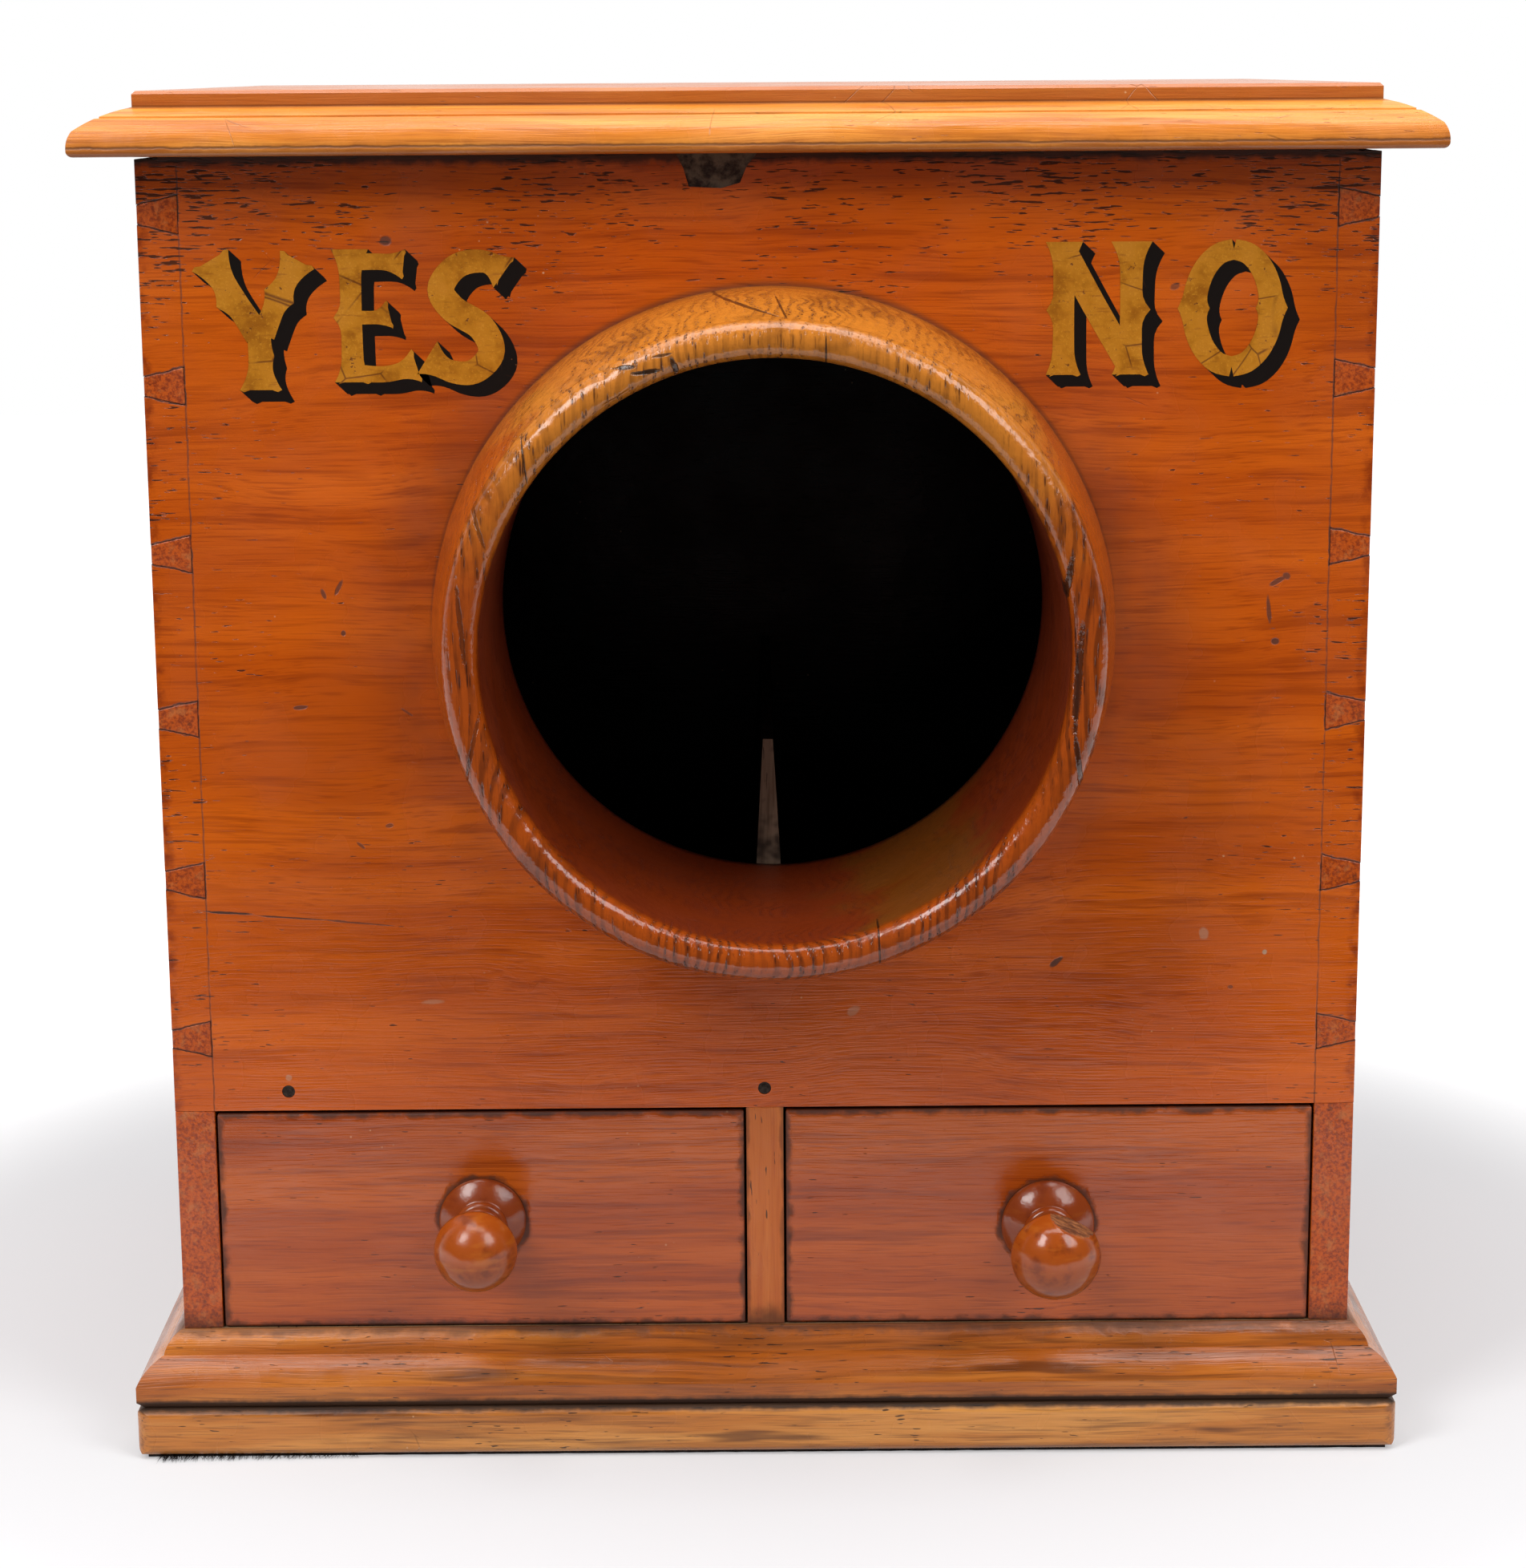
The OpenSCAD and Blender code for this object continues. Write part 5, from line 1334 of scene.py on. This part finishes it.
class BALLOT_OT_metalwork(bpy.types.Operator):
    """Give the hinges and screws their brass"""

    bl_idname = "ballot.metalwork"
    bl_label = "Metalwork"

    def execute(self, context):
        colours = settings()[1]
        brass = plain_material("Hinge brass", colours.brass, (0.12, 0.07, 0.03), 420.0, 0.38, 0.00005, 0.9)
        for side in ("left", "right"):
            for part in ("body_leaf", "lid_leaf", "pin"):
                dress(f"{side}_hinge_{part}", brass)
        for node in ("body_leaf_screws", "lid_leaf_screws"):
            dress(node, brass)
        return {"FINISHED"}


class BALLOT_OT_words(bpy.types.Operator):
    """Paint the two words in gilt letters with a black shade"""

    bl_idname = "ballot.words"
    bl_label = "Words"

    def execute(self, context):
        sizes, colours, stage = settings()
        gold = gold_material(colours)
        black = shade_material(colours)
        height, stem = sizes.letter_height, sizes.letter_stem
        for name, strokes, left, foot, width in WORDS:
            shapes = [[(x + left * MM, z + foot * MM) for x, z in shape] for shape in strokes(width * MM, height, stem)]
            fall = (sizes.letter_shade, -sizes.letter_shade * 0.95)
            painted(f"shade_{name}", swept(shapes, fall), sizes.paint * 0.6, black)
            painted(f"letter_{name}", shapes, sizes.paint * 1.6, gold)
        return {"FINISHED"}


class BALLOT_OT_baize(bpy.types.Operator):
    """Lay the baize under the base, frayed at the front left corner"""

    bl_idname = "ballot.baize"
    bl_label = "Baize"

    def execute(self, context):
        sizes, colours, stage = settings()
        low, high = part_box("base_baize")
        felt = plain_material("Baize", colours.felt, (0.012, 0.008, 0.007), 1500.0, 0.95, 0.0004)
        half_x, half_y = high.x, high.y
        columns, rows = 160, 120
        points, faces = [], []
        for level in (high.z - sizes.baize, high.z - 0.00002):
            for j in range(rows + 1):
                for i in range(columns + 1):
                    u, v = 2 * i / columns - 1, 2 * j / rows - 1
                    fray = noise.noise(Vector((u * 60.0, v * 60.0, 1.0))) * 0.0004
                    x = u * half_x - math.copysign(fray, u) * abs(u) ** 12
                    y = v * half_y - math.copysign(fray, v) * abs(v) ** 12
                    points.append((x, y, level))
        width = columns + 1
        sheet = width * (rows + 1)
        for j in range(rows):
            for i in range(columns):
                a = j * width + i
                faces.append((a, a + width, a + width + 1, a + 1))
                faces.append((a + sheet, a + 1 + sheet, a + width + 1 + sheet, a + width + sheet))
        rim = ([i for i in range(columns)] + [columns + j * width for j in range(rows)]
               + [rows * width + columns - i for i in range(columns)] + [(rows - j) * width for j in range(rows)])
        for a, b in zip(rim, rim[1:] + rim[:1]):
            faces.append((a, b, b + sheet, a + sheet))
        baize = new_object("baize", points, faces, [felt], "carcass", smooth=False)
        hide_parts("base_baize")
        fibres = self.fringe(felt, low, high)
        return {"FINISHED"}

    def fringe(self, felt, low, high):
        """Loose fibres that stick out from under the front left corner."""
        draw = random.Random(5)
        points, faces = [], []
        for i in range(420):
            place = draw.random() ** 1.4
            x = SLAB_LOW.x + 0.006 + place * 0.05
            reach = draw.uniform(0.0006, 0.0026) * (1.1 - place)
            y0 = low.y + 0.001
            z0 = draw.uniform(0.00025, 0.0008)
            side = draw.uniform(-0.0016, 0.0016)
            tip = (x + side, SLAB_LOW.y - reach, draw.uniform(0.00012, 0.0009))
            w = draw.uniform(0.00006, 0.00014)
            start = len(points)
            points += [(x - w, y0, z0), (x + w, y0, z0), (x, y0, z0 + 2 * w), tip]
            faces += [(start, start + 1, start + 3), (start + 1, start + 2, start + 3), (start + 2, start, start + 3),
                      (start, start + 2, start + 1)]
        return new_object("baize_fringe", points, faces, [felt], "carcass", smooth=False)


class BALLOT_OT_stage(bpy.types.Operator):
    """Make the floor, the lights, the room and the camera"""

    bl_idname = "ballot.stage"
    bl_label = "Stage"

    def execute(self, context):
        stage = settings()[2]
        self.floor()
        self.lights(stage)
        self.room(stage)
        self.camera(stage)
        context.scene.view_settings.view_transform = "Standard"
        return {"FINISHED"}

    def floor(self):
        """A pale sheet that ends a little in front of the object, seen white further out."""
        mesh = bpy.data.meshes.new("floor")
        near, back, side = -0.42, 2.6, 1.8
        mesh.from_pydata([(-side, near, 0), (side, near, 0), (side, back, 0), (-side, back, 0)], [], [(0, 1, 2, 3)])
        floor = bpy.data.objects.new("floor", mesh)
        bpy.context.scene.collection.objects.link(floor)
        material, g, shader, place = new_material("Floor")
        shader.inputs["Base Color"].default_value = (0.45, 0.45, 0.455, 1.0)
        shader.inputs["Roughness"].default_value = 0.9
        shader.inputs["Specular IOR Level"].default_value = 0.0
        path = g.add("ShaderNodeLightPath").outputs
        seen = g.both(path["Is Camera Ray"], path["Is Glossy Ray"], path["Is Transmission Ray"])
        far = g.step(g.vector("LENGTH", place), 0.24, 0.41)
        glow = g.mix((0.35, 0.35, 0.36, 1.0), (1.0, 1.0, 1.0, 1.0), far)
        g.put(g.mix((0, 0, 0, 1), glow, seen), shader.inputs["Emission Color"])
        shader.inputs["Emission Strength"].default_value = 1.0
        mesh.materials.append(material)

    def lights(self, stage):
        target = Vector((0, 0, 0.17))
        for name, place, width, height, power in (
            ("key", (-0.85, -0.95, 1.20), 0.55, 0.75, stage.key),
            ("fill", (0.90, -0.90, 1.15), 0.65, 0.85, stage.fill),
            ("top", (0.0, -0.20, 1.45), 1.1, 0.8, stage.top),
        ):
            light = bpy.data.lights.new(name, "AREA")
            light.shape = "RECTANGLE"
            light.size = width
            light.size_y = height
            light.energy = power
            lamp = bpy.data.objects.new(name, light)
            lamp.location = place
            lamp.rotation_euler = (target - Vector(place)).to_track_quat("-Z", "Y").to_euler()
            bpy.context.scene.collection.objects.link(lamp)

    def room(self, stage):
        """White for the camera, white behind the object in reflections, and grey light from all round."""
        world = bpy.data.worlds.new("Room")
        bpy.context.scene.world = world
        world.use_nodes = True
        g = Graph(world.node_tree)
        background = world.node_tree.nodes["Background"]
        path = g.add("ShaderNodeLightPath").outputs
        behind = g.split(g.add("ShaderNodeTexCoord").outputs["Generated"])[1]
        mirrored = g.step(behind, -0.1, 0.35, 0.04, 1.0)
        shiny = g.math("MAXIMUM", path["Is Glossy Ray"], path["Is Transmission Ray"])
        unseen = g.math("MULTIPLY_ADD", shiny, g.math("SUBTRACT", mirrored, stage.sky), stage.sky)
        seen = path["Is Camera Ray"]
        strength = g.math("MULTIPLY_ADD", seen, g.math("SUBTRACT", 1.0, unseen), unseen)
        g.put(strength, background.inputs["Strength"])
        background.inputs["Color"].default_value = (1, 1, 1, 1)

    def camera(self, stage):
        data = bpy.data.cameras.new("camera")
        data.lens = stage.lens
        data.sensor_width = 36
        data.sensor_fit = "HORIZONTAL"
        camera = bpy.data.objects.new("camera", data)
        cos, sin = math.cos, math.sin
        level = Vector((-sin(stage.yaw), cos(stage.yaw), 0))
        right = Vector((cos(stage.yaw), sin(stage.yaw), 0))
        up_axis = Vector((0, 0, 1))
        forward = level * cos(stage.pitch) - up_axis * sin(stage.pitch)
        up = level * sin(stage.pitch) + up_axis * cos(stage.pitch)
        rolled_right = right * cos(stage.roll) - up * sin(stage.roll)
        rolled_up = right * sin(stage.roll) + up * cos(stage.roll)
        camera.matrix_world = Matrix.Translation(
            (stage.camera_x, FACE_Y - stage.camera_distance, stage.camera_height)
        ) @ Matrix((rolled_right, rolled_up, -forward)).transposed().to_4x4()
        bpy.context.scene.collection.objects.link(camera)
        bpy.context.scene.camera = camera


OPERATORS = (
    BALLOT_OT_boards, BALLOT_OT_lid, BALLOT_OT_base, BALLOT_OT_inside, BALLOT_OT_drawers, BALLOT_OT_collar,
    BALLOT_OT_knobs, BALLOT_OT_metalwork, BALLOT_OT_words, BALLOT_OT_baize, BALLOT_OT_stage,
)


class BALLOT_PT_panel(bpy.types.Panel):
    """Lists the pieces in the 3D view's sidebar"""

    bl_idname = "BALLOT_PT_panel"
    bl_label = "Ballot Box"
    bl_space_type = "VIEW_3D"
    bl_region_type = "UI"
    bl_category = "Ballot Box"

    def draw(self, context):
        for operator in OPERATORS:
            self.layout.operator(operator.bl_idname)


CLASSES = (BallotBoxSizes, BallotBoxColours, BallotBoxStage, *OPERATORS, BALLOT_PT_panel)


def register():
    for item in CLASSES:
        bpy.utils.register_class(item)
    bpy.types.Scene.ballot_sizes = PointerProperty(type=BallotBoxSizes)
    bpy.types.Scene.ballot_colours = PointerProperty(type=BallotBoxColours)
    bpy.types.Scene.ballot_stage = PointerProperty(type=BallotBoxStage)


def unregister():
    del bpy.types.Scene.ballot_stage
    del bpy.types.Scene.ballot_colours
    del bpy.types.Scene.ballot_sizes
    for item in reversed(CLASSES):
        bpy.utils.unregister_class(item)


def main():
    register()
    for operator in OPERATORS:
        getattr(bpy.ops.ballot, operator.bl_idname.split(".")[1])()


if __name__ == "__main__":
    main()
